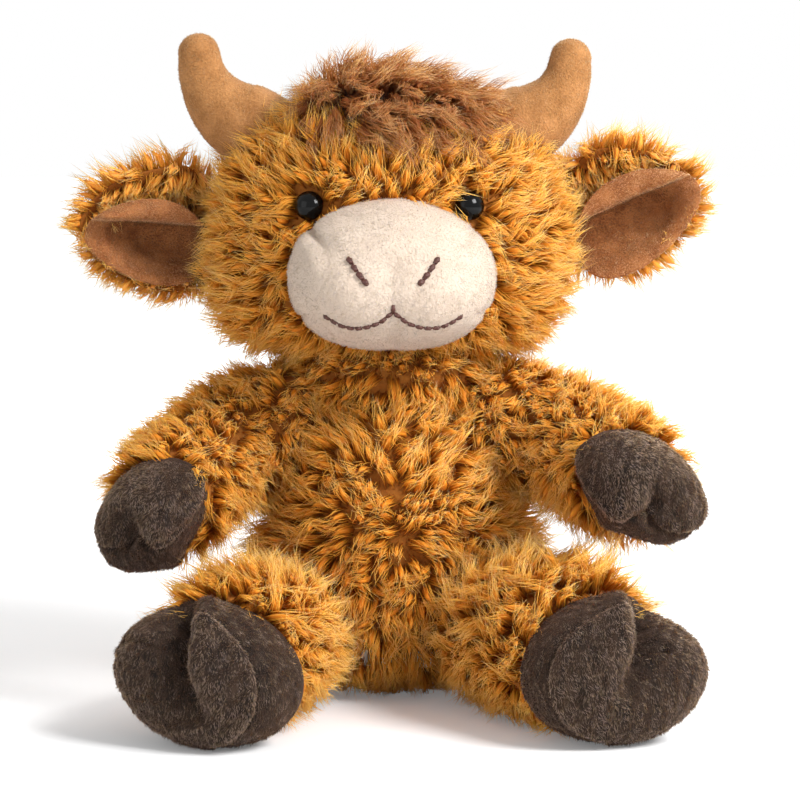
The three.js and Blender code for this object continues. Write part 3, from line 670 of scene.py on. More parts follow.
# Head: a wide, full ball of the same fur, whose pile is combed away from the muzzle on all sides and
# parts round the eyes.
HEAD_FULL, HEAD_TAPER = 0.86, 0.06
HEAD_PILE = 7.0
head_semi = np.array([70.5, 54.0, 53.5])
head_centre = np.array([-2.4, 3.0, neck_place[2] + NECK_GAP + head_semi[2]])
MUZZLE_FULL, MUZZLE_TAPER = 0.84, 0.17
muzzle_low, muzzle_high = cad_box("muzzle_skin")
muzzle_semi = np.array([37.5, 31.0, 27.5])
muzzle_centre = np.array(
    [head_centre[0], muzzle_low[1] + muzzle_semi[1], (muzzle_low[2] + muzzle_high[2]) / 2]
)
EYES = {word: np.mean(cad_box(f"eye_{word}"), axis=0) for word in ("left", "right")}
EYE_LIFT = np.array([0, 0, 1.9])  # of the beads from the middle of their CAD discs
EYE_CLEAR, HEAD_CLEAR = 6.2, 19  # how far from an eye, and from the neck joint, the head's fur starts


def in_head(places, depth):
    """Whether places lie at least a depth inside the head."""
    return inside(places, head_centre, head_semi - depth, HEAD_FULL, HEAD_TAPER)


def head_open(places):
    """Where the head's pile shows: outside the muzzle, the eyes and the neck."""
    covered = inside(places, muzzle_centre, muzzle_semi - 1.5, MUZZLE_FULL, MUZZLE_TAPER)
    for eye in EYES.values():
        covered |= np.linalg.norm(places - eye - EYE_LIFT, axis=1) < EYE_CLEAR
    covered |= np.linalg.norm(places - neck_place, axis=1) < HEAD_CLEAR
    return ~covered


JOWL_SWELL = 5.0
JOWL_AT = (0.66, -0.62)  # across and up, in half sizes of the head
HEAD_FUR = 14.0
head_rows = ovoid(head_centre, head_semi - HEAD_PILE, HEAD_FULL, HEAD_TAPER, rings=44, around=88)
away = (head_rows - head_centre) / head_semi
jowls = bell(np.hypot(np.abs(away[..., 0]) - JOWL_AT[0], away[..., 2] - JOWL_AT[1]), 0.3)
head_rows = head_rows + unit(away) * JOWL_SWELL * jowls[..., None]
head_surface = closed_rows(head_rows)
padded_piece("head_backing", head_surface, ochre_backing, "long_pile_fur", "head", "head_skin", fill=0.8)
filling("head_filling", head_rows, "head", "head_stuffing", share=0.94)

rng = np.random.default_rng(12)
places, outward = scatter(rng, head_surface, spacing=5.2, keep=head_open)
flow = unit(places - (muzzle_centre + [0, 20, 0]))
for eye in EYES.values():
    gap = places - eye
    near = np.linalg.norm(gap, axis=1, keepdims=True)
    flow = flow + unit(gap) * 2 * bell(near, 11)
jowl = ramp(np.abs(outward[:, 0]), 0.3, 1.3) * ramp(outward[:, 2], 0, -1)
brow = ramp(outward[:, 0], 0, -0.4) * ramp(outward[:, 2], 0.45, 0.95)
length = HEAD_FUR + (5 + 7 * (places[:, 0] < 0)) * jowl + 4 * brow
face = places[:, 1] < head_centre[1] - 12
crown = ~face & (places[:, 2] > head_centre[2])
for part, chosen, fibres in (("face", face, DENSE), ("crown", crown, DENSE), ("nape", ~face & ~crown, THIN)):
    strands = long_pile(rng, places[chosen], outward[chosen], flow[chosen], length[chosen], fibres=fibres)
    fur_piece(f"head_fur_{part}", strands, ochre_pile, "long_pile_fur", "head", "head_skin")


# Muzzle: a stuffed patch of cream short-pile plush, sewn into the face. A dart at each side of the nose
# bridge pulls it in, the cheeks bulge, and a pull stitch under the nose draws a soft crease to the chin.
MUZZLE_HALF_WIDTH, MUZZLE_HALF_HEIGHT = 37.7, 27.4
MUZZLE_SHIFT = np.array([0.9, 0, -0.4])
MUZZLE_FULLNESS = (1.92, 2.35)  # powers of its outline over and under its middle: upper corners slope more
CREAM_NAP, CREAM_COUNT = 1.1, 22000  # length and number of its fibres


def bump_along(points, start, end, width, taper):
    """A soft ridge of height one over the straight stretch from start to end in the face's own plane. It
    falls off with the square of the distance over the width, and loses the taper's share towards its
    end."""
    start, end = np.array(start, float), np.array(end, float)
    span = end - start
    flat = points[..., [0, 2]] - start
    share = np.clip((flat @ span) / (span @ span), 0, 1)[..., None]
    return np.exp(-(((flat - share * span) ** 2).sum(-1)) / width**2) * (1 - taper * share[..., 0])


def plush_material(name, deep, pale, grain, sheen, sheen_tint="#ffffff", streak=1.0, spread=0.3):
    """Short-pile plush: the nap lies in patches some millimetres wide that are paler or deeper, over
    grains as fine as the fibre ends, which also roughen the surface. Grain is in millimetres, and streak
    draws it out upwards by that factor. A smaller spread sets the pale and the deep further apart."""
    material, tree, output = new_material(name)
    where = combine(tree, "MULTIPLY", own_place(tree), (1, 1, 1 / streak), "ShaderNodeVectorMath")
    patches, grains = (
        add_node(tree, "ShaderNodeTexNoise", {"Vector": where, "Scale": scale, "Detail": detail}).outputs[0]
        for scale, detail in ((1000 / (grain * 9), 3.0), (1000 / grain, 5.0))
    )
    share = ranged(tree, combine(tree, "ADD", patches, grains), (1 - spread, 1 + spread))
    finish_cloth(
        tree, output, share, grains, deep, pale, relief=0.0006, strength=0.8,
        Roughness=0.85, Specular_IOR_Level=0.2, Sheen_Weight=sheen, Sheen_Roughness=0.4,
        Sheen_Tint=linear(sheen_tint),
    )
    return material


def nap(
    rng, surface, count, length, flow, *, stray, radius, keep, ruffle, lean=55, tone=(0.5, 0.2),
    swirl=60, patch=7.0, shade=None,
):
    """Points, triangles and colour places of short single fibres at random places on a closed surface:
    three-sided spikes that lean over towards the flow. Flow is a direction, or a function of places.
    Where a hand has ruffled the nap, patches of fibres are turned, by about the swirl in degrees at a
    ruffle of one, and lie lighter or darker together. Shade is a function of places that adds painted
    light and shade to their tone."""
    places, outward = random_places(rng, surface, count, keep)
    count = len(places)
    flow = along_surface(flow(places) if callable(flow) else np.array(flow, float) + 0 * places, outward)
    side = np.cross(outward, flow)
    brushed = waves(rng, places * [1, 1, 0.45], patch)[:, None]
    turn = np.radians(rng.normal(0, stray, (count, 1)) + swirl * ruffle * brushed)
    angle = np.radians(np.clip(rng.normal(lean, 10, (count, 1)) + 18 * ruffle * brushed, 5, 88))
    heading = swung(angle, outward, swung(turn, flow, side))
    across = unit(np.cross(heading, outward + 0.01))
    over = np.cross(heading, across)
    corner = (2 * np.pi * (np.arange(3) / 3 + rng.random((count, 1))))[..., None]
    base = places[:, None] - 0.1 * outward[:, None] + radius * swung(corner, across[:, None], over[:, None])
    tip = places + heading * length * rng.uniform(0.6, 1.15, (count, 1))
    points = np.concatenate([base, tip[:, None]], 1)
    spike = np.array([(2, 1, 0), (0, 1, 3), (1, 2, 3), (2, 0, 3)])
    triangles = (spike + 4 * np.arange(count)[:, None, None]).reshape(-1, 3)
    dye = rng.normal(tone[0], tone[1], (count, 1)) + 0.28 * ruffle * brushed
    # Shade adds painted light and shade to the dye.
    if shade is not None:
        dye = dye + shade(places)[:, None]
    dye = np.clip(dye, 0.02, 0.98)
    strand_uv = np.stack([np.array([0, 0.02, 0, 1.0]) + 0 * dye, dye + [-0.008, 0, 0.008, 0]], -1)
    return points.reshape(-1, 3), triangles, strand_uv.reshape(-1, 2)


def muzzle_rows(rings=110, around=200):
    """The muzzle as rows from the back pole to the front one. Seen from the front it is an oval whose
    upper half is a plain ellipse and whose lower half is fuller, and from the side it is domed. The
    lower half stands further forward than the bridge."""
    rise = np.linspace(-np.pi / 2, np.pi / 2, rings + 1)[:, None]
    turn = turns(around)[None, :]
    cosine, sine = np.cos(turn), np.sin(turn)
    fullness = np.where(sine > 0, MUZZLE_FULLNESS[0], MUZZLE_FULLNESS[1])
    reach = (np.abs(cosine) ** fullness + np.abs(sine) ** fullness) ** (-1 / fullness)
    wide = np.cos(rise) ** 0.82
    wide[[0, -1]] = 0
    x = MUZZLE_HALF_WIDTH * reach * cosine * wide
    z = MUZZLE_HALF_HEIGHT * reach * sine * wide
    y = -muzzle_semi[1] * power(np.sin(rise), 0.9) + 0 * turn
    y = y + 0.10 * np.clip(z + 4, 0, None) ** 1.15 * np.clip(np.sin(rise) + 0.3, 0, 1)
    return np.stack([x, y, z], -1)


MUZZLE_MARKS = [  # how far in, start, end, width and taper of the darts, creases and stitches' pulls
    (2.6, (-30.5, 17.5), (-22.5, 9.5), 1.3, 1.0), (1.2, (31.0, 17), (26.5, 12.5), 1.8, 0.0),
    (0.9, (0, 3), (0, -10), 4, 0.0), (0.35, (0, -15), (0, -28), 3, 0.0),
    (1.0, (-36, -16), (-31, -15), 1.6, 0.0), (1.0, (36, -13), (31, -14), 1.6, 0.0),
    (0.5, (-16.4, 6), (-8.8, -4.4), 2.2, 0.0), (0.5, (16.4, 6), (8.8, -4.4), 2.2, 0.0),
    # and of the cheeks and of the folds beside the dart, which swell out
    (-1.5, (-19, -6), (-17, -10), 13, 0.0), (-1.5, (19, -6), (17, -10), 13, 0.0),
    (-1.6, (-31, 10.5), (-27, 5.5), 3.5, 0.0), (-0.8, (-22, 18), (-18, 14), 6, 0.0),
]
rows = muzzle_rows()
front = ramp(rows[..., 1], 6, -2)  # marks end where the muzzle meets the face
dent = sum(depth * bump_along(rows, *stretch) for depth, *stretch in MUZZLE_MARKS)
outside = unit(rows * [1 / MUZZLE_HALF_WIDTH**2, 1 / muzzle_semi[1] ** 2, 1 / MUZZLE_HALF_HEIGHT**2])
rows = rows - outside * (dent * front)[..., None] + muzzle_centre + MUZZLE_SHIFT
muzzle_surface = closed_rows(rows)
cream_plush = plush_material("cream_short_plush", "#c3b09f", "#d3c1b0", grain=0.9, sheen=0.15)
cream_nap = pile_material(
    "cream_plush_nap", [(0.0, "#b9a593"), (1.0, "#cfbcaa")], [(0.0, "#c6b3a1"), (1.0, "#ddccba")],
    sheen_tint="#ffffff",
)
padded_piece("muzzle_plush", muzzle_surface, cream_plush, "muzzle_plush", "head", "muzzle_skin", fill=0.85)
filling("muzzle_filling", rows, "head", "muzzle_stuffing", share=0.93)

rng = np.random.default_rng(21)
strands = nap(
    rng, muzzle_surface, CREAM_COUNT, CREAM_NAP, lambda at: (at - muzzle_centre) * [1, 0, 1] + [0, 0, -12],
    keep=lambda at: ~in_head(at, 9), radius=0.1, ruffle=0.3, stray=25,
)
fur_piece("muzzle_nap", strands, cream_nap, "muzzle_plush", "head", "muzzle_skin")


# Nose and mouth: lines of brown embroidery thread, each a row of short twisted stitches whose ends dive
# into the plush.
THREAD_RADIUS, NOSTRIL_RADIUS = 0.75, 0.95
STITCH_LENGTH = 3.1
SEAM_SHIFT = np.array([1.5, 1.9])  # of the stitches' middle from the muzzle's, across and up
NOSTRIL = np.array([(16.4, 6.0), (12.8, 0.6), (8.8, -4.4)])
MOUTH = np.array([(0, -14.3), (5.2, -17.7), (11.6, -19.6), (18, -19.0), (25.2, -15.2)])
KNOT = np.array([(0, -14.6), (0, -10.6)])
LINE_STEPS, STITCH_RINGS, STITCH_SIDES = 200, 18, 12
OVERLAP = 0.12  # of a stitch with the next, in lengths of one
TWIST = 2.4 * np.pi


def smooth_path(points, count):
    """Evenly spaced points on a smooth curve through some points: a spline whose slope at each point
    follows its neighbours."""
    points = np.asarray(points, float)
    ends = [2 * points[0] - points[1], *points, 2 * points[-1] - points[-2]]
    stretches = []
    share = np.linspace(0, 1, 40, endpoint=False)[:, None]
    for a, b, c, d in zip(ends, ends[1:], ends[2:], ends[3:]):
        second, third = 2 * a - 5 * b + 4 * c - d, 3 * b - a - 3 * c + d
        stretches.append((2 * b + (c - a) * share + second * share**2 + third * share**3) / 2)
    fine = np.concatenate([*stretches, points[-1:]])
    walked = np.concatenate([[0], np.cumsum(np.linalg.norm(np.diff(fine, axis=0), axis=1))])
    at = np.linspace(0, walked[-1], count)
    return np.stack([np.interp(at, walked, fine[:, i]) for i in range(fine.shape[1])], -1)


def on_muzzle(flat):
    """The point of the muzzle's front at each place across and up from its middle, from the nearest
    points of its surface, and the outward direction there."""
    surface = muzzle_surface[0]
    facing = point_normals(surface, as_triangles(*muzzle_surface[1:]))
    ahead = surface[:, 1] < muzzle_centre[1]
    surface, facing = surface[ahead], facing[ahead]
    target = muzzle_centre[[0, 2]] + SEAM_SHIFT + flat
    gap = ((surface[None][..., [0, 2]] - target[:, None]) ** 2).sum(-1)
    weight = 1 / (gap + 0.05) ** 2
    weight = weight / weight.sum(1, keepdims=True)
    return weight @ surface, unit(weight @ facing)


def sewn_line(flat_points, radius):
    """Points, triangles and quads of a row of stitches. A stitch is a pointed bar with a two-ply twist:
    its radius is a half wave to a power along it, and swells twice round it, turning as it goes. It
    arches over the plush by the same half wave."""
    walked = smooth_path(flat_points, LINE_STEPS)
    length = np.linalg.norm(np.diff(walked, axis=0), axis=1).sum()
    steps = np.linspace(0, length, LINE_STEPS)
    number = max(1, round(length / STITCH_LENGTH))
    wave = np.sin(np.linspace(0, np.pi, STITCH_RINGS))
    twist = np.linspace(0, TWIST, STITCH_RINGS)[:, None]
    turn = turns(STITCH_SIDES)
    stitches = []
    for i in range(number):
        share = np.linspace(max(0, i - OVERLAP), min(number, i + 1 + OVERLAP), STITCH_RINGS) / number
        place = np.stack([np.interp(share * length, steps, walked[:, k]) for k in (0, 1)], -1)
        middle, facing = on_muzzle(place)
        middle = middle + facing * (radius * (0.25 + 1.15 * wave) - radius)[:, None]
        ahead = unit(np.gradient(middle, axis=0))
        side = unit(np.cross(facing, ahead))
        thick = radius * wave[:, None] ** 0.45 * (1 + 0.16 * np.cos(2 * (turn - twist)))
        spoke = swung(turn[None, :, None], side[:, None], facing[:, None])
        stitches.append(closed_rows(middle[:, None] + thick[..., None] * spoke))
    return joined(stitches)


# The thread is mercerised: a dark brown with paler strands, and a soft shine.
brown_thread = cloth_material(
    "brown_embroidery_thread", "#2e140e", "#63352a", relief=0.0002, roughness=0.5, Scale=2600.0, Detail=3.0
)
mirror = np.array([-1, 1])
for name, lines, radius in (
    ("nostril_stitch_left", [NOSTRIL], NOSTRIL_RADIUS),
    ("nostril_stitch_right", [NOSTRIL * mirror], NOSTRIL_RADIUS),
    ("mouth_stitch", [np.concatenate([MOUTH[:0:-1] * mirror, MOUTH]), KNOT], THREAD_RADIUS),
):
    stitches = joined([sewn_line(line, radius) for line in lines])
    sewn = mesh_piece(f"{name}_thread", *stitches, material=brown_thread)
    attach(sewn, "embroidery_thread", "head", name)


# Eyes: domed beads of glossy black plastic on a shank that passes through the cloth to a locking washer.
def turned_rows(profile, place, axis, around=64):
    """A profile of (radius, height) points, turned round an axis from a place, as rows."""
    axis = unit(np.asarray(axis, float))
    side = unit(np.cross(axis, [0, 0, 1.0]))
    over = np.cross(axis, side)
    spoke = swung(turns(around)[:, None], side, over)
    radius, height = np.asarray(profile, float).T
    return place + height[:, None, None] * axis + radius[:, None, None] * spoke


def plastic_material(name, code, roughness):
    """Moulded plastic, with the faint unevenness of its shine that handling leaves."""
    material, tree, output = new_material(name)
    smears = add_node(tree, "ShaderNodeTexNoise", {"Vector": own_place(tree), "Scale": 300.0})
    shine = ranged(tree, smears.outputs[0], (0, 1), (roughness * 0.7, roughness * 1.4))
    shader = add_node(
        tree, "ShaderNodeBsdfPrincipled",
        {"Base Color": linear(code), "Roughness": shine, "IOR": 1.4, "Specular IOR Level": 0.25},
    )
    tree.links.new(shader.outputs[0], output.inputs["Surface"])
    return material


EYE_RADIUS, EYE_RISE, EYE_DOME = 5.4, 1.2, 4.6
SHANK_RADIUS, SHANK_LENGTH = 1.7, 9.0
black_bead = plastic_material("glossy_black_bead", "#050505", roughness=0.1)
for word, eye in EYES.items():
    out = unit((eye - head_centre) / head_semi**2)
    arc = np.linspace(0, np.pi / 2, 16)[:, None]
    dome = np.concatenate([EYE_RADIUS * np.cos(arc), EYE_RISE + EYE_DOME * np.sin(arc)], 1)
    shank = [(0, -SHANK_LENGTH), (SHANK_RADIUS, -SHANK_LENGTH), (SHANK_RADIUS, -0.4)]
    rim = [(EYE_RADIUS - 0.6, 0), (EYE_RADIUS, 0.5)]
    profile = np.concatenate([shank, rim, dome])
    seat = eye - out + EYE_LIFT
    bead = mesh_piece(f"eye_bead_{word}", *closed_rows(turned_rows(profile, seat, out)), material=black_bead)
    attach(bead, "eye_plastic", "head", f"eye_{word}")


# Horns: tapered tubes of tan short plush, stuffed hard, that curve out and up from the crown.
HORN_LINE = np.array([(-17, -8), (-7, 0.5), (3, 6.5), (9.5, 13.5), (13, 21.5), (14, 29.5)])
HORN_RADII = [15.5, 15.5, 14.9, 12.3, 9.4, 7.7]
HORN_SHIFT = {  # of the root and of the tip, out and up
    "left": np.array([(-2.5, 0), (-1.0, -1.6)]), "right": np.array([(0.5, 0), (2.7, 0.4)]),
}
HORN_NAP, HORN_COUNT = 0.8, 12000
HORN_UP = 0.66  # the height at which a horn leaves the head, in half heights from the head's middle
CAP_RINGS = 12


def tube_rows(path, radii, cap, rings=70, around=72):
    """A round tube as rows. Path is a list of points for a smooth curve, and radii are spread evenly along
    it. Its start is closed by a half ball, and its end by a half ellipse as long as the cap."""
    middle = smooth_path(path, rings)
    thick = smooth_path(np.stack([np.linspace(0, 1, len(radii)), radii], -1), rings * 4)
    thick = np.interp(np.linspace(0, 1, rings), thick[:, 0], thick[:, 1])
    ahead = unit(np.gradient(middle, axis=0))
    side = unit(np.cross(ahead, [0.02, 0.05, 1.0]))
    over = np.cross(ahead, side)
    rise = np.linspace(0, np.pi / 2, CAP_RINGS, endpoint=False)[:, None]
    start = middle[0] - radii[0] * np.cos(rise) * ahead[0]
    end = middle[-1] + cap * np.cos(rise[::-1]) * ahead[-1]
    middle = np.concatenate([start, middle, end])
    thick = np.concatenate([thick[0] * np.sin(rise[:, 0]), thick, thick[-1] * np.sin(rise[::-1, 0])])
    side, over = (np.pad(way, ((CAP_RINGS, CAP_RINGS), (0, 0)), mode="edge") for way in (side, over))
    spoke = swung(turns(around)[:, None], side[:, None], over[:, None])
    return middle[:, None] + thick[:, None, None] * spoke


def bezier(a, b, c, count=24):
    """Points on the curve that leaves a towards b and reaches c from b: a, b and c weighted by (1-t)^2,
    2t(1-t) and t^2."""
    t = np.linspace(0, 1, count)[:, None]
    return (1 - t) ** 2 * np.asarray(a) + 2 * t * (1 - t) * np.asarray(b) + t**2 * np.asarray(c)


tan_plush = plush_material(
    "tan_short_plush", "#8b5c31", "#b8824f", grain=0.8, sheen=0.2, sheen_tint="#ffd9b0"
)
tan_nap = pile_material(
    "tan_plush_nap", [(0.0, "#7d5028"), (1.0, "#b58252")], [(0.0, "#9c6c3e"), (1.0, "#d4a274")],
    sheen_tint="#ffd9b0",
)
horn_reach = (1 - HORN_UP ** (2 / HEAD_FULL)) ** (HEAD_FULL / 2)
for seed, (side, word) in enumerate(((1, "left"), (-1, "right"))):
    root = head_centre + head_semi * [side * (1 - HEAD_TAPER * HORN_UP) * horn_reach, 0, HORN_UP]
    share = np.linspace(0, 1, 6)[:, None]
    middle = HORN_LINE + HORN_SHIFT[word][0] * (1 - share) + HORN_SHIFT[word][1] * share
    path = root + np.stack([side * middle[:, 0], np.zeros(6), middle[:, 1]], -1)
    rows = tube_rows(path, HORN_RADII, cap=HORN_RADII[-1] * 0.95)
    surface = closed_rows(rows)
    padded_piece(
        f"horn_plush_{word}", surface, tan_plush, "horn_plush", "head", f"horn_skin_{word}", fill=0.95
    )
    filling(f"horn_filling_{word}", rows, "head", f"horn_stuffing_{word}", share=0.84)
    # The nap is darker near the horn's root, as painted shade of the head's fur round it, and a little paler
    # elsewhere.
    strands = nap(
        np.random.default_rng(31 + seed), surface, HORN_COUNT, HORN_NAP, lambda at: at - root,
        keep=lambda at: ~in_head(at, 6), stray=60, radius=0.1, ruffle=0.7, patch=5.0,
        shade=lambda at: 0.1 - 0.5 * np.exp(-np.linalg.norm(at - root, axis=1) / 12),
    )
    fur_piece(f"horn_nap_{word}", strands, tan_nap, "horn_plush", "head", f"horn_skin_{word}")


# Forelock: a mop of long brown hair on a patch sewn to the crown, combed over to the toy's left.
brown_hair = pile_material(
    "brown_long_pile",
    [(0.0, "#7c401c"), (0.5, "#945228"), (1.0, "#a86436")],
    [(0.0, "#8e4e26"), (0.5, "#b2703c"), (1.0, "#d29060")],
    sheen_tint="#d8a078",
)
brown_backing = backing_material("brown_knitted_backing", "#2c160c", "#5a3622")
lock_low, lock_high = cad_box("forelock")
lock_semi = np.array([37.0, 29.0, 18.0])
lock_centre = (lock_low + lock_high) / 2 * [1, 1, 0] + [-2, -1, lock_high[2] - lock_semi[2] - 5.5]
LOCK_PILE, LOCK_SLOPE = 4, 11  # depth of its hair, and how much lower the mop ends on the toy's left
rows = ovoid(lock_centre, lock_semi - LOCK_PILE, 1.0, rings=32, around=64)
slope = np.clip((rows[..., 0] - lock_centre[0]) / lock_semi[0], -0.4, 1)
rise = ramp(rows[..., 2], lock_centre[2], lock_centre[2] + lock_semi[2])
rows[..., 2] -= LOCK_SLOPE * (slope + 0.1) * rise
lock_surface = closed_rows(rows)
padded_piece("forelock_backing", lock_surface, brown_backing, "forelock_fur", "head", "forelock", fill=0.6)
rng = np.random.default_rng(41)
places, outward = scatter(rng, lock_surface, spacing=4.2, keep=lambda at: ~in_head(at, 5))
parting = np.array([lock_low[0] + 20, lock_centre[1] + 14, lock_high[2]])
flow = unit(places - parting) + [0.9, -0.15, -0.1]
fringe = ramp(places[:, 1], lock_centre[1], lock_centre[1] - 20)
flow = flow + np.stack([0 * fringe, -0.5 * fringe, -1.1 * fringe], -1)
locks = curled_locks(rng, places, outward, flow, length=18.0 + 5 * fringe, lean=(25, 84), stray=30, curl=60)
strands = joined([
    lock_cores(rng, locks, radius=1.5),
    lock_fibres(rng, locks, 22, rings=3, radius=0.13, spread=3.2, gather=0.35, frizz=1.2),
])
fur_piece("forelock_hair", strands, brown_hair, "forelock_fur", "head", "forelock")


# Ears: a leaf of fur fabric, sewn to a lining of brown short plush. The leaf is cupped, and its upper rim
# rolls forward over the hollow of the lining. The fur stands out past the rim all round.
EAR_LIFT = {"left": np.radians(9), "right": np.radians(-3)}
SHELL_PLACE, SHELL_SIZE, SHELL_SHEAR = np.array([20.0, -3.0]), np.array([26.5, 22.5]), 2.0
SHELL_CREST = {"left": 2.0, "right": 7.0}  # how much the shell's upper edge rises next to the head
SHELL_CREST_AT = {"left": -0.45, "right": -0.85}
LINING_PLACE = {"left": np.array([22.0, -7.0]), "right": np.array([20.5, -6.5])}
LINING_SIZE = {"left": np.array([25.0, 18.0]), "right": np.array([23.5, 16.0])}
LINING_SHEAR = {"left": 7.0, "right": 3.0}
EAR_TAPER = 0.22
SHELL_WALL, LINING_WALL = 4.5, 1.6
EAR_NAP, EAR_COUNT = 1.0, 15000


def leaf_rows(place, size, shear, wall, front, rings=56, around=96):
    """A leaf-shaped pad as rows, in the ear's own frame: along the ear, up and forward. A flat disc is
    stretched to its size, narrowed towards the tip by the taper and sheared up, and bulges by its wall.
    Front gives how far forward its middle layer stands for a place on the disc."""
    rise = np.linspace(-np.pi / 2, np.pi / 2, rings + 1)[:, None]
    turn = turns(around)[None, :]
    reach = np.sin((rise + np.pi / 2))
    reach[[0, -1]] = 0
    across, up = reach * np.cos(turn), reach * np.sin(turn)
    along = place[0] + size[0] * across
    height = place[1] + size[1] * up * (1 - EAR_TAPER * across) + shear * across
    return np.stack([along, height, front(across, up) + wall * np.sin(rise)], -1), across, up


def from_middle(across, up):
    """How far a place on the disc is from the middle of the hollow, which is open towards the head."""
    return np.hypot(np.maximum(across, 0.3 * across), up)


def cupped(across, up):
    """The ear's cup: its rim stands forward by the square of the distance from the middle."""
    return -17.0 + 14.0 * from_middle(across, up) ** 2


def past_lip(across, up):
    """How far above the lip of the rolled rim a place on the disc is."""
    return up - 0.10 * across - 0.46


def lined(across, up):
    """The lining's depth: a hollow that rises in an S curve to a broad flat rim, and above it the upper
    rim's roll, which hangs forward of the hollow with a sharp edge."""
    rim = 16.0 * (1 - np.exp(-((from_middle(across, up) / 0.62) ** 3)))
    roll = 11.0 * step_up(past_lip(across, up), 0.02) * bell(past_lip(across, up), 0.4)
    return -12.0 + rim + roll * (1 - ramp(across, 0, 1) ** 4)


brown_plush = plush_material(
    "brown_short_plush", "#74401f", "#ae7143", grain=0.7, sheen=0.2, sheen_tint="#e0a47a"
)
brown_nap = pile_material(
    "brown_plush_nap", [(0.0, "#46200c"), (1.0, "#66361a")], [(0.0, "#b06c3c"), (1.0, "#eeb080")],
    sheen_tint="#e8b48c",
)
for seed, (side, word) in enumerate(((1, "left"), (-1, "right"))):
    lift = EAR_LIFT[word]
    pivot = joint_place(f"ear_{word}_flap")
    axes = np.array([
        [side * np.cos(lift), 0, np.sin(lift)], [-side * np.sin(lift), 0, np.cos(lift)], [0, -1.0, 0],
    ])

    def placed(rows):
        """Rows of the ear's frame in the toy's, wound the other way on the right, which mirrors them."""
        return (rows if side > 0 else rows[:, ::-1]) @ axes + pivot

    shell_rows, across, up = leaf_rows(SHELL_PLACE, SHELL_SIZE, SHELL_SHEAR, SHELL_WALL, cupped)
    crest = SHELL_CREST[word] * bell(across - SHELL_CREST_AT[word], 0.45)
    shell_rows[..., 1] += crest * ramp(up, 0, 1)
    shell_surface = closed_rows(placed(shell_rows))
    body, back, lining = f"ear_{word}", f"ear_back_{word}", f"ear_lining_{word}"
    padded_piece(f"ear_shell_{word}", shell_surface, ochre_backing, "long_pile_fur", body, back, fill=0.3)
    leaf = LINING_PLACE[word], LINING_SIZE[word], LINING_SHEAR[word]
    lining_rows = leaf_rows(*leaf, LINING_WALL, lined)[0]
    lining_surface = closed_rows(placed(lining_rows))
    padded_piece(f"ear_plush_{word}", lining_surface, brown_plush, "ear_plush", body, lining, fill=0.4)

    def in_ear(at):
        """Places in the ear's own frame."""
        return (at - pivot) @ axes.T

    def on_disc(local, place, size, shear):
        """Where places of the ear's frame lie on the disc that was stretched to a leaf."""
        across = (local[:, 0] - place[0]) / size[0]
        up = (local[:, 1] - place[1] - shear * across) / size[1] / (1 - EAR_TAPER * across)
        return across, up

    def furred(at):
        """Whether the ear's fur grows there: on its back, and on its front outside the lining."""
        local = in_ear(at)
        behind = local[:, 2] < cupped(*on_disc(local, SHELL_PLACE, SHELL_SIZE, SHELL_SHEAR)) - 1
        return (np.hypot(*on_disc(local, *leaf)) > 0.97) | behind

    def painted_lining_light_and_shade(at):
        """Painted light and shade on the nap: paler on the rim and the lip, darker under the lip and in the
        hollow.
        """
        across, up = on_disc(in_ear(at), *leaf)
        past = past_lip(across, up)
        painted_lip_shadow = bell(np.minimum(past, 0), 0.3) * (past < 0) * (1 - across**2)
        raised = np.maximum(ramp(from_middle(across, up), 0, 1) ** 2, step_up(past, 0.03))
        return 0.8 * raised - 0.3 - 0.6 * painted_lip_shadow

    rng = np.random.default_rng(45 + seed)
    places, outward = scatter(rng, shell_surface, spacing=4.2, keep=furred)
    middle = np.array([8.0, -4.0, 0]) @ axes + pivot
    flow = unit((places - middle) * [1, 0, 1]) + 0.25 * axes[0]
    upper = np.clip((places - middle) @ axes[1] / 18, -0.3, 1)
    near_head = ramp(in_ear(places)[:, 0], 26, 14)
    over_lip = ramp(upper, 0, 1) * ramp(outward[:, 1], 0, -1) * near_head
    flow = flow + over_lip[:, None] * (-3.0 * axes[1] + axes[2])
    # The ear's fur takes a paler mix of the dye lots than the head's: painted light.
    strands = long_pile(
        rng, places, outward, flow, length=11.0 + 2 * upper, core=1.3, lean=(10, 52), stray=35,
        tone=(0.72, 0.18),
    )
    # Its darker roots, painted shade, are left off here.
    strands = (*strands[:2], strands[2] * [0.58, 1] + [0.42, 0])  # without the dark colour of the roots
    fur_piece(f"ear_fur_{word}", strands, ochre_pile, "long_pile_fur", body, back)
    strands = nap(
        rng, lining_surface, EAR_COUNT, EAR_NAP, axes[0], stray=30, radius=0.12, ruffle=0.5, shade=painted_lining_light_and_shade,
        keep=lambda at: in_ear(at)[:, 2] > lined(*on_disc(in_ear(at), *leaf)) - 0.5,
    )
    fur_piece(f"ear_nap_{word}", strands, brown_nap, "ear_plush", body, lining)


# Arms: bowed sleeves of the same fur that reach forward, each ended by a stuffed plush front hoof.
ARM_RADII = [24, 24.5, 24.5, 25, 24]
ARM_LENGTH, ARM_BOW = 58.0, 6.0
ARM_ROOT = np.array([-16.0, 0, 5.0])  # of the sleeve's start from the shoulder, outwards and up
ARM_FUR = 12.0
ARM_TOP = {"left": 1.5, "right": 0.0}  # how much longer the fur is on the shoulder
ARM_SPLAY = np.radians(30)
ARM_DROP = {"left": np.radians(13), "right": np.radians(22)}
HOOF_FORWARD = 9.0
HOOF_NAP, FRONT_COUNT, HIND_COUNT = 1.5, 15000, 24000
dark_plush = plush_material(
    "dark_brown_plush", "#100a07", "#38291f", grain=0.42, sheen=0.25, sheen_tint="#b8907e", streak=4.0,
    spread=0.22,
)
dark_nap = pile_material(
    "dark_plush_nap", [(0.0, "#100a07"), (1.0, "#241812")], [(0.0, "#382820"), (1.0, "#b8998a")],
    sheen=0.25, sheen_tint="#d0a490",
)


Hoof = namedtuple("Hoof", "middle facing axes semi edge cleft cut fold notch step bridged drop side")


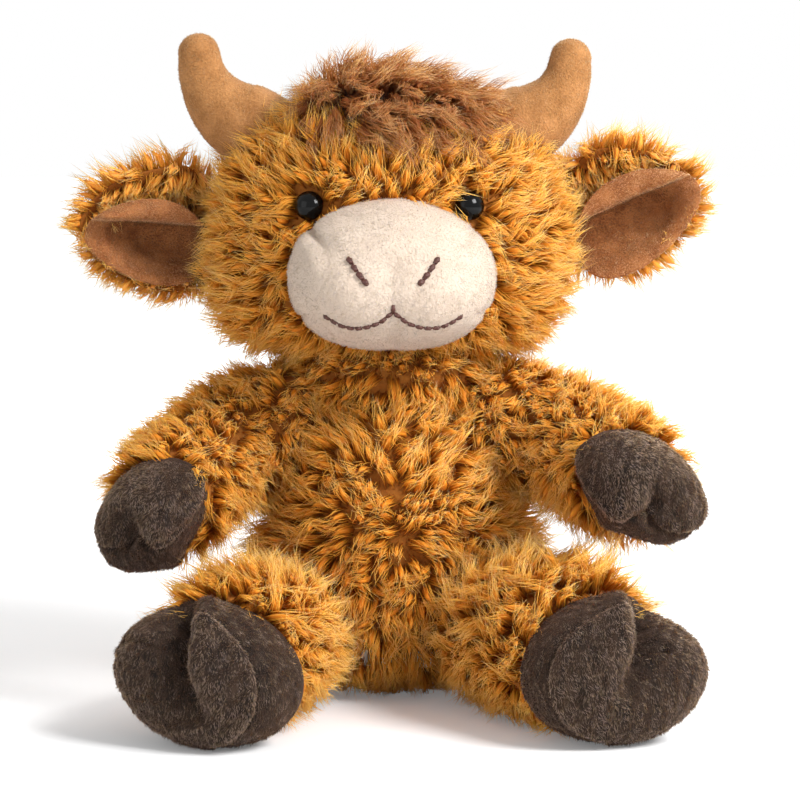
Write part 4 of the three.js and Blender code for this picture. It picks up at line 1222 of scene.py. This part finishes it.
def beside_path(path, flat):
    """How far places are from a path, how far along it as a share of its length, and the distance signed
    by the side: positive to the left of a path that runs up, and to the right of one that runs down."""
    path = smooth_path(path, 50)
    gap = flat[:, None] - path
    near = (gap**2).sum(-1).argmin(1)
    gap = gap[np.arange(len(flat)), near]
    along = unit(np.gradient(path, axis=0))[near]
    across = (along[:, 0] * gap[:, 1] - along[:, 1] * gap[:, 0]) * np.sign(path[0, 1] - path[-1, 1])
    reach = np.linalg.norm(gap, axis=1)
    return reach, near / 49, np.where(across < 0, -reach, reach)


def hoof_marks(hoof, away):
    """Where points, given from the hoof's middle, stand to its cleft and its seam: the distance from the
    cleft, which is negative on the inner toe, how much of the cleft's depth is left there, and the
    distance from the seam, which is positive on the side of the toes."""
    _, share, across = beside_path(hoof.cleft, away[:, [0, 2]] * [hoof.side, 1])
    depth = (1 - share) ** 0.45 * ramp(away[:, 1], 10, -5)
    distance = np.linalg.norm(away, axis=1)
    angle = np.arccos(np.clip(away @ hoof.facing / np.maximum(distance, 1e-6), -1, 1))
    edge = hoof.edge - hoof.notch * (1 - share) * bell(across, 3.5)
    return across, depth, (edge - angle) * distance


def hoof_rows(hoof, end, ahead, rings=84, around=150):
    """A cloven hoof as rows, from behind to the middle of its sole. From its middle a ray in each
    direction ends on an ellipsoid that is fuller from back to front. The cleft is cut down steeply beside
    the inner toe and more gently beside the outer one, whose top is lower by the drop, and it may be
    bridged by the gusset. The seam is a groove between the swollen toes and the gusset, and the rings
    stand closer there. Behind the sleeve's end, which looks ahead, the hoof is cut off flat."""
    fine = np.linspace(np.pi, 0, 600)
    crowd = np.cumsum(1 + 3 * bell(fine - hoof.edge, 0.14))
    angle = np.interp(np.linspace(crowd[0], crowd[-1], rings + 1), crowd, fine)[:, None, None]
    up = unit(np.array([0, 0, 1.0]) - hoof.facing[2] * hoof.facing)
    over = np.cross(hoof.facing, up)
    turn = turns(around)[None, :, None]
    level = np.sin(angle)
    level[[0, -1]] = 0
    heading = np.cos(angle) * hoof.facing + level * swung(turn, up, over)
    flat = heading.reshape(-1, 3)
    own = np.abs(flat @ hoof.axes.T) / hoof.semi
    reach = ((own[:, 0] ** 2 + own[:, 2] ** 2) ** 1.25 + own[:, 1] ** 2.5) ** (-1 / 2.5)
    across, depth, past = hoof_marks(hoof, flat * reach[:, None])
    outer = step_up(across, 1.5)
    lower = hoof.drop * outer * ramp(flat[:, 2], 0, 1)
    slope = np.where(across > 0, np.exp(-np.abs(across / 9) ** 1.4), bell(across, 4))
    on_toes = step_up(past + 1, 0.7)
    cut = hoof.cut * depth * slope * (1 - hoof.bridged * (1 - on_toes))
    toe = depth * (3 * bell(across + 9, 5) + 1.2 * bell(across - 15, 6))
    sewn = hoof.bridged + (1 - hoof.bridged) * (1 - outer)
    groove = 1.2 * bell(past, 0.8) - 0.9 * bell(past - 3, 2.4)
    gusset = hoof.step * step_up(-past, 0.6) * bell(past, 26)
    from_fold = beside_path(hoof.fold, flat[:, [0, 2]] * reach[:, None] * [hoof.side, 1])[0]
    fold = 1.1 * bell(from_fold, 0.9) - 0.6 * bell(from_fold - 2.6, 1.6)
    reach = reach * (1 - lower) - cut + toe - sewn * (groove + gusset) - fold * (flat[:, 1] < 0.1)
    rows = (flat * reach[:, None]).reshape(heading.shape) + hoof.middle
    return rows - np.minimum((rows - end) @ ahead, 0)[..., None] * ahead


def cuff(at, end):
    """How near places are to a sleeve's end, from 0 to 1: the fur is longer there."""
    return ramp(np.linalg.norm(at - end, axis=1), 36.4, 8.4)


def sleeve(name, path, radii, end, ahead, seed, word, length, spread, tone):
    """Backing, filling and fur of a sleeve. The fur runs to the hoof and away from the middle by the
    spread, and stands out past the sleeve's end."""
    rows = tube_rows(path, np.array(radii) - PILE_DEPTH, cap=3.0, rings=44, around=60)
    rows[..., 2] = np.maximum(rows[..., 2], SEAT)
    beyond = np.maximum((rows - end) @ ahead, 0)
    rows = rows - beyond[..., None] * ahead
    surface = closed_rows(rows)
    body = f"{name}_{word}"
    skin = f"{name}_skin_{word}"
    padded_piece(f"{body}_backing", surface, ochre_backing, "long_pile_fur", body, skin, fill=0.8)
    filling(f"{body}_filling", rows, body, f"{name}_stuffing_{word}", share=0.88)

    def grows(at):
        """Outside the torso and the seam of the hoof, and off the floor."""
        along = (at - end) @ ahead
        off_axis = np.linalg.norm(at - end - along[:, None] * ahead, axis=1)
        sewn = (off_axis < radii[-1] - PILE_DEPTH - 5) & (along > -8)
        return ~in_torso(at, 7) & (at[:, 2] > FLOOR_CLEAR) & ~sewn

    rng = np.random.default_rng(seed)
    places, outward = scatter(rng, surface, spacing=5.3, keep=grows)
    strands = long_pile(
        rng, places, outward, 0.7 * ahead + spread, length(places, outward), lean=(14, 62), tone=tone
    )
    fur_piece(f"{body}_fur", strands, ochre_pile, "long_pile_fur", body, skin)


def hoof_pieces(name, body, hoof, rows, seed, count):
    """The plush and the nap of a hoof. The nap lies down over the toes. It has a painted highlight along
    the seam, painted shadow in the cleft and painted light on the inner toe, and it is darker on the gusset."""
    surface = closed_rows(rows)
    padded_piece(f"{name}_plush", surface, dark_plush, "hoof_plush", body, name, fill=0.9)

    def shade(at):
        """The painted light and shade that a place on the hoof adds to the tone of its nap."""
        across, depth, past = hoof_marks(hoof, at - hoof.middle)
        on_gusset = (past < -0.5) * np.where(across < 0, 1, hoof.bridged)
        # Painted highlight along the seam; the gusset is darker.
        ridge = 0.3 * bell(past - 2.2, 2) - 0.35 * on_gusset
        painted_cleft_shadow = depth * np.exp(-np.abs(across / np.where(across > 0, 9, 2)))
        # Painted light on the inner toe.
        inner = (past > 0) * bell(across + 9, 6)
        return ridge - 0.9 * painted_cleft_shadow + 0.25 * inner

    strands = nap(
        np.random.default_rng(seed), surface, count, HOOF_NAP, [0.25 * hoof.side, 0, -1.0], radius=0.15,
        stray=12, lean=66, ruffle=1.1, swirl=18, tone=(0.44, 0.12), patch=3.2, shade=shade,
        keep=lambda at: (at - hoof.middle) @ hoof.axes[1] > -6,
    )
    fur_piece(f"{name}_nap", strands, dark_nap, "hoof_plush", body, name)


# A front hoof droops: its toes point down and out, its broad back is seen, and its gusset shows below it.
FRONT_HOOF = {"left": np.array([25.5, 22.0, 17.6]), "right": np.array([23.0, 22.0, 17.2])}
FRONT_ROLL = {"left": np.radians(32), "right": np.radians(42)}
FRONT_SHIFT = {"left": np.array([0.2, 0, 1.9]), "right": np.array([-1.8, 0, 1.5])}
FRONT_CLEFT = {
    "left": [(-4.5, -18), (-2.7, -13), (2.3, -8.6), (4.6, -5), (5.2, -0.7), (4.9, 5)],
    "right": [(1.0, -19), (3.0, -13), (4.6, -9), (6.2, -5), (7.2, 0), (7.3, 5)],
}
FRONT_FOLD = {
    "left": [(-22, 3), (-21, 0), (-19, -3)], "right": [(-19.4, 4.9), (-13.3, 0), (-4.9, -5.7), (2, -8)],
}
FRONT_EDGE = {"left": np.radians(90), "right": np.radians(80)}
FACING_UP = np.radians(55)

for seed, (side, word) in enumerate(((1, "left"), (-1, "right"))):
    root = SHOULDERS[word]
    drop = ARM_DROP[word]
    level = np.array([side * np.sin(ARM_SPLAY), -np.cos(ARM_SPLAY), 0])
    reach = swung(drop, level, np.array([0, 0, -1.0]))
    elbow = root + reach * ARM_LENGTH / 2 + [side * ARM_BOW, 0, 0]
    end = root + reach * ARM_LENGTH
    ahead = unit(end - elbow)

    def fur_length(at, outward):
        """Longer on top of the shoulder and in the armpit."""
        near = ramp(np.linalg.norm(at - root, axis=1), 42, 12)
        above, below = ramp(outward[:, 2], 0, 1), ramp(outward[:, 2], 0, -1)
        return ARM_FUR + near * (ARM_TOP[word] * above + 8 * below) + 3.5 * cuff(at, end)

    start = root + ARM_ROOT * [side, 1, 1]
    path = np.concatenate([[start], bezier(root, elbow, end)[2:]])
    # The arm's fur takes a paler mix of the dye lots than the head's: painted light.
    sleeve(
        "arm", path, ARM_RADII, end, ahead, 51 + seed, word, fur_length, np.array([side * 0.2, 0, -0.35]),
        (0.7, 0.18),
    )
    across = unit(np.cross([0, 0, side], ahead))
    up = side * np.cross(ahead, across)
    roll = FRONT_ROLL[word]
    hoof = Hoof(
        middle=end + ahead * HOOF_FORWARD + FRONT_SHIFT[word],
        facing=unit(np.array([side * 0.35, -np.cos(FACING_UP), 0.9 * np.sin(FACING_UP)])),
        axes=np.stack([swung(roll, across, -up), ahead, swung(roll, up, across)]),
        semi=FRONT_HOOF[word], edge=FRONT_EDGE[word], cleft=FRONT_CLEFT[word], cut=10.5,
        fold=FRONT_FOLD[word], notch=0.35, step=1.4, bridged=1.0, drop=0.0, side=side,
    )
    rows = hoof_rows(hoof, end, ahead)
    hoof_pieces(f"front_hoof_{word}", f"arm_{word}", hoof, rows, 55 + seed, FRONT_COUNT)


# Legs: sleeves that lie on the floor and widen towards a large hind hoof, whose sole faces ahead.
LEG_RADII = {"left": [27, 29, 30, 30, 28], "right": [24, 27, 29, 29.5, 28]}
LEG_LENGTH = 56.0
LEG_SPLAY = {"left": np.radians(30.5), "right": np.radians(22)}
HIND_HOOF = {"left": np.array([34.0, 25.0, 26.4]), "right": np.array([34.5, 25.0, 25.6])}
HIND_FACING = {"left": np.radians(15), "right": np.radians(27)}
HIND_SHIFT = {"left": 2.5, "right": 0.5}
HIND_DROP = {"left": 0.22, "right": 0.1}
HIND_ROLL = {"left": np.radians(4), "right": np.radians(12)}
HIND_FOLD = {
    "left": [(14.6, 11), (21, 10.8), (28.7, 8.2)], "right": [(34.6, 9.9), (27.6, 13.3), (19.2, 13.3)],
}
LEG_FUR = 12.5
LEG_TOP = {"left": 7.5, "right": 5.0}  # how much longer the fur is on top
HIND_CLEFT = {
    "left": [(11.2, 26), (11.6, 16), (10.4, 10), (8.4, 5), (5.6, 0), (3.0, -8)],
    "right": [(9.2, 26), (10.1, 17), (10.6, 12), (10.4, 6.5), (8.2, 0), (4, -7.6), (1.5, -14)],
}
HIND_EDGE = np.radians(61)
FLAT_DEPTH = 0.5  # how far a leg's round form would reach through the floor, where it lies flat
HOOF_FLOOR = 0.3

for seed, (side, word) in enumerate(((1, "left"), (-1, "right"))):
    root = HIPS[word]
    splay, radii = LEG_SPLAY[word], LEG_RADII[word]
    ahead = np.array([side * np.sin(splay), -np.cos(splay), 0])
    stations = np.array([
        (root + ahead * LEG_LENGTH * i / 4) * [1, 1, 0] + [0, 0, radius - FLAT_DEPTH]
        for i, radius in enumerate(radii)
    ])
    end = stations[-1]
    sleeve(
        "leg", stations, radii, end, ahead, 61 + seed, word,
        lambda at, outward: LEG_FUR + LEG_TOP[word] * ramp(outward[:, 2], 0, 1) + 2 * cuff(at, end),
        np.array([side * 0.1, 0, 0]), (0.6, 0.18),
    )
    facing = np.array([side * np.sin(HIND_FACING[word]), -np.cos(HIND_FACING[word]), 0.0])
    semi = HIND_HOOF[word]
    across, up, roll = np.cross([0, 0, side], facing), np.array([0, 0, 1.0]), HIND_ROLL[word]
    hoof = Hoof(
        middle=(end + ahead * HOOF_FORWARD) * [1, 1, 0] + [side * HIND_SHIFT[word], 0, semi[2] - FLAT_DEPTH],
        facing=facing, axes=np.stack([swung(roll, across, up), facing, swung(roll, up, -across)]),
        semi=semi, edge=HIND_EDGE, cleft=HIND_CLEFT[word], cut=14.0,
        fold=HIND_FOLD[word], notch=0.1, step=1.2, bridged=0.0, drop=HIND_DROP[word], side=side,
    )
    rows = hoof_rows(hoof, end, ahead)
    rows[..., 2] = np.maximum(rows[..., 2], HOOF_FLOOR)
    hoof_pieces(f"hind_hoof_{word}", f"leg_{word}", hoof, rows, 65 + seed, HIND_COUNT)


# Tail: a thin tube of the same fur behind the seat, ended by a tuft of the forelock's brown hair.
TAIL_RADIUS, TAIL_WALL, TAIL_SPACING = 6.5, 3.0, 3.4
tail_root = joint_place("tail_lift")
tuft_low, tuft_high = cad_box("tail_tuft")
tuft_centre = (tuft_low + tuft_high) / 2
tail_path = bezier(
    tail_root, [0, tuft_high[1] - 9.4, tail_root[2]], [0, tuft_centre[1], tuft_high[2] + 1]
)
tail_radii = [TAIL_RADIUS - TAIL_WALL] * 3
tail_surface = closed_rows(tube_rows(tail_path, tail_radii, cap=2.0, rings=30, around=24))
padded_piece("tail_backing", tail_surface, ochre_backing, "long_pile_fur", "tail", "tail_skin", fill=0.6)
rng = np.random.default_rng(71)
places, outward = scatter(rng, tail_surface, TAIL_SPACING, lambda at: ~in_torso(at, 4))
strands = long_pile(rng, places, outward, np.array([0, 0.2, -1.0]), length=7.0, lean=(10, 55))
fur_piece("tail_fur", strands, ochre_pile, "long_pile_fur", "tail", "tail_skin")

TUFT_SEMI, TUFT_UP = np.array([4.0, 4.0, 7.5]), np.array([0, 0, 4])
tuft_surface = closed_rows(ovoid(tuft_centre + TUFT_UP, TUFT_SEMI, 1.0, rings=20, around=24))
padded_piece("tail_tuft_backing", tuft_surface, brown_backing, "forelock_fur", "tail", "tail_tuft", fill=0.5)
places, outward = scatter(rng, tuft_surface, TAIL_SPACING)
locks = curled_locks(rng, places, outward, np.array([0, 0, -1.0]), length=11.0, lean=(30, 85), stray=20)
strands = joined([
    lock_cores(rng, locks, radius=1.2),
    lock_fibres(rng, locks, 16, rings=4, radius=0.13, spread=2.2, frizz=0.7),
])
fur_piece("tail_tuft_hair", strands, brown_hair, "forelock_fur", "tail", "tail_tuft")


# Inside: besides the loose fibre, a woven bag of plastic pellets weights the seat, and a moulded washer
# locks each eye's shank behind the cloth. None of it shows in a whole toy.
THREAD_PITCH = 0.55
PELLET = 0.5  # how far single pellets push the bag's cloth out


def woven_material(name, deep, pale, pitch):
    """Plain weave: two sets of threads a pitch apart cross at right angles, each a wave across its own
    direction, and the higher of the two shows."""
    material, tree, output = new_material(name)
    wave = {"Vector": own_place(tree), "Scale": 1000 / (pitch * 20), "Distortion": 0.6, "Detail": 1.0}
    threads = [
        add_node(tree, "ShaderNodeTexWave", wave, bands_direction=way).outputs["Fac"] for way in ("X", "Y")
    ]
    weave = combine(tree, "MAXIMUM", *threads)
    finish_cloth(tree, output, weave, weave, deep, pale, relief=0.0003, Roughness=0.9)
    return material


bag_cloth = woven_material("undyed_woven_cotton", "#a9a49a", "#dcd8ce", THREAD_PITCH)
bag_low, bag_high = cad_box("pellet_bag")
bag_centre = (bag_low + bag_high) / 2
rows = ovoid(bag_centre, (bag_high - bag_low) / 2 - PELLET, 0.7, rings=30, around=60)
points, *faces = closed_rows(rows)
pressed = PELLET * waves(np.random.default_rng(82), points, length=6)
points = points + unit(points - bag_centre) * pressed[:, None]
padded_piece("pellet_bag_cloth", (points, *faces), bag_cloth, "pellet_cloth", "torso", "pellet_bag", fill=0.5)

washer_plastic = plastic_material("pale_moulded_plastic", "#d9d6cc", roughness=0.4)
for word in EYES:
    for material_slot in frame["nodes"][f"eye_washer_{word}"].material_slots:
        material_slot.material = washer_plastic
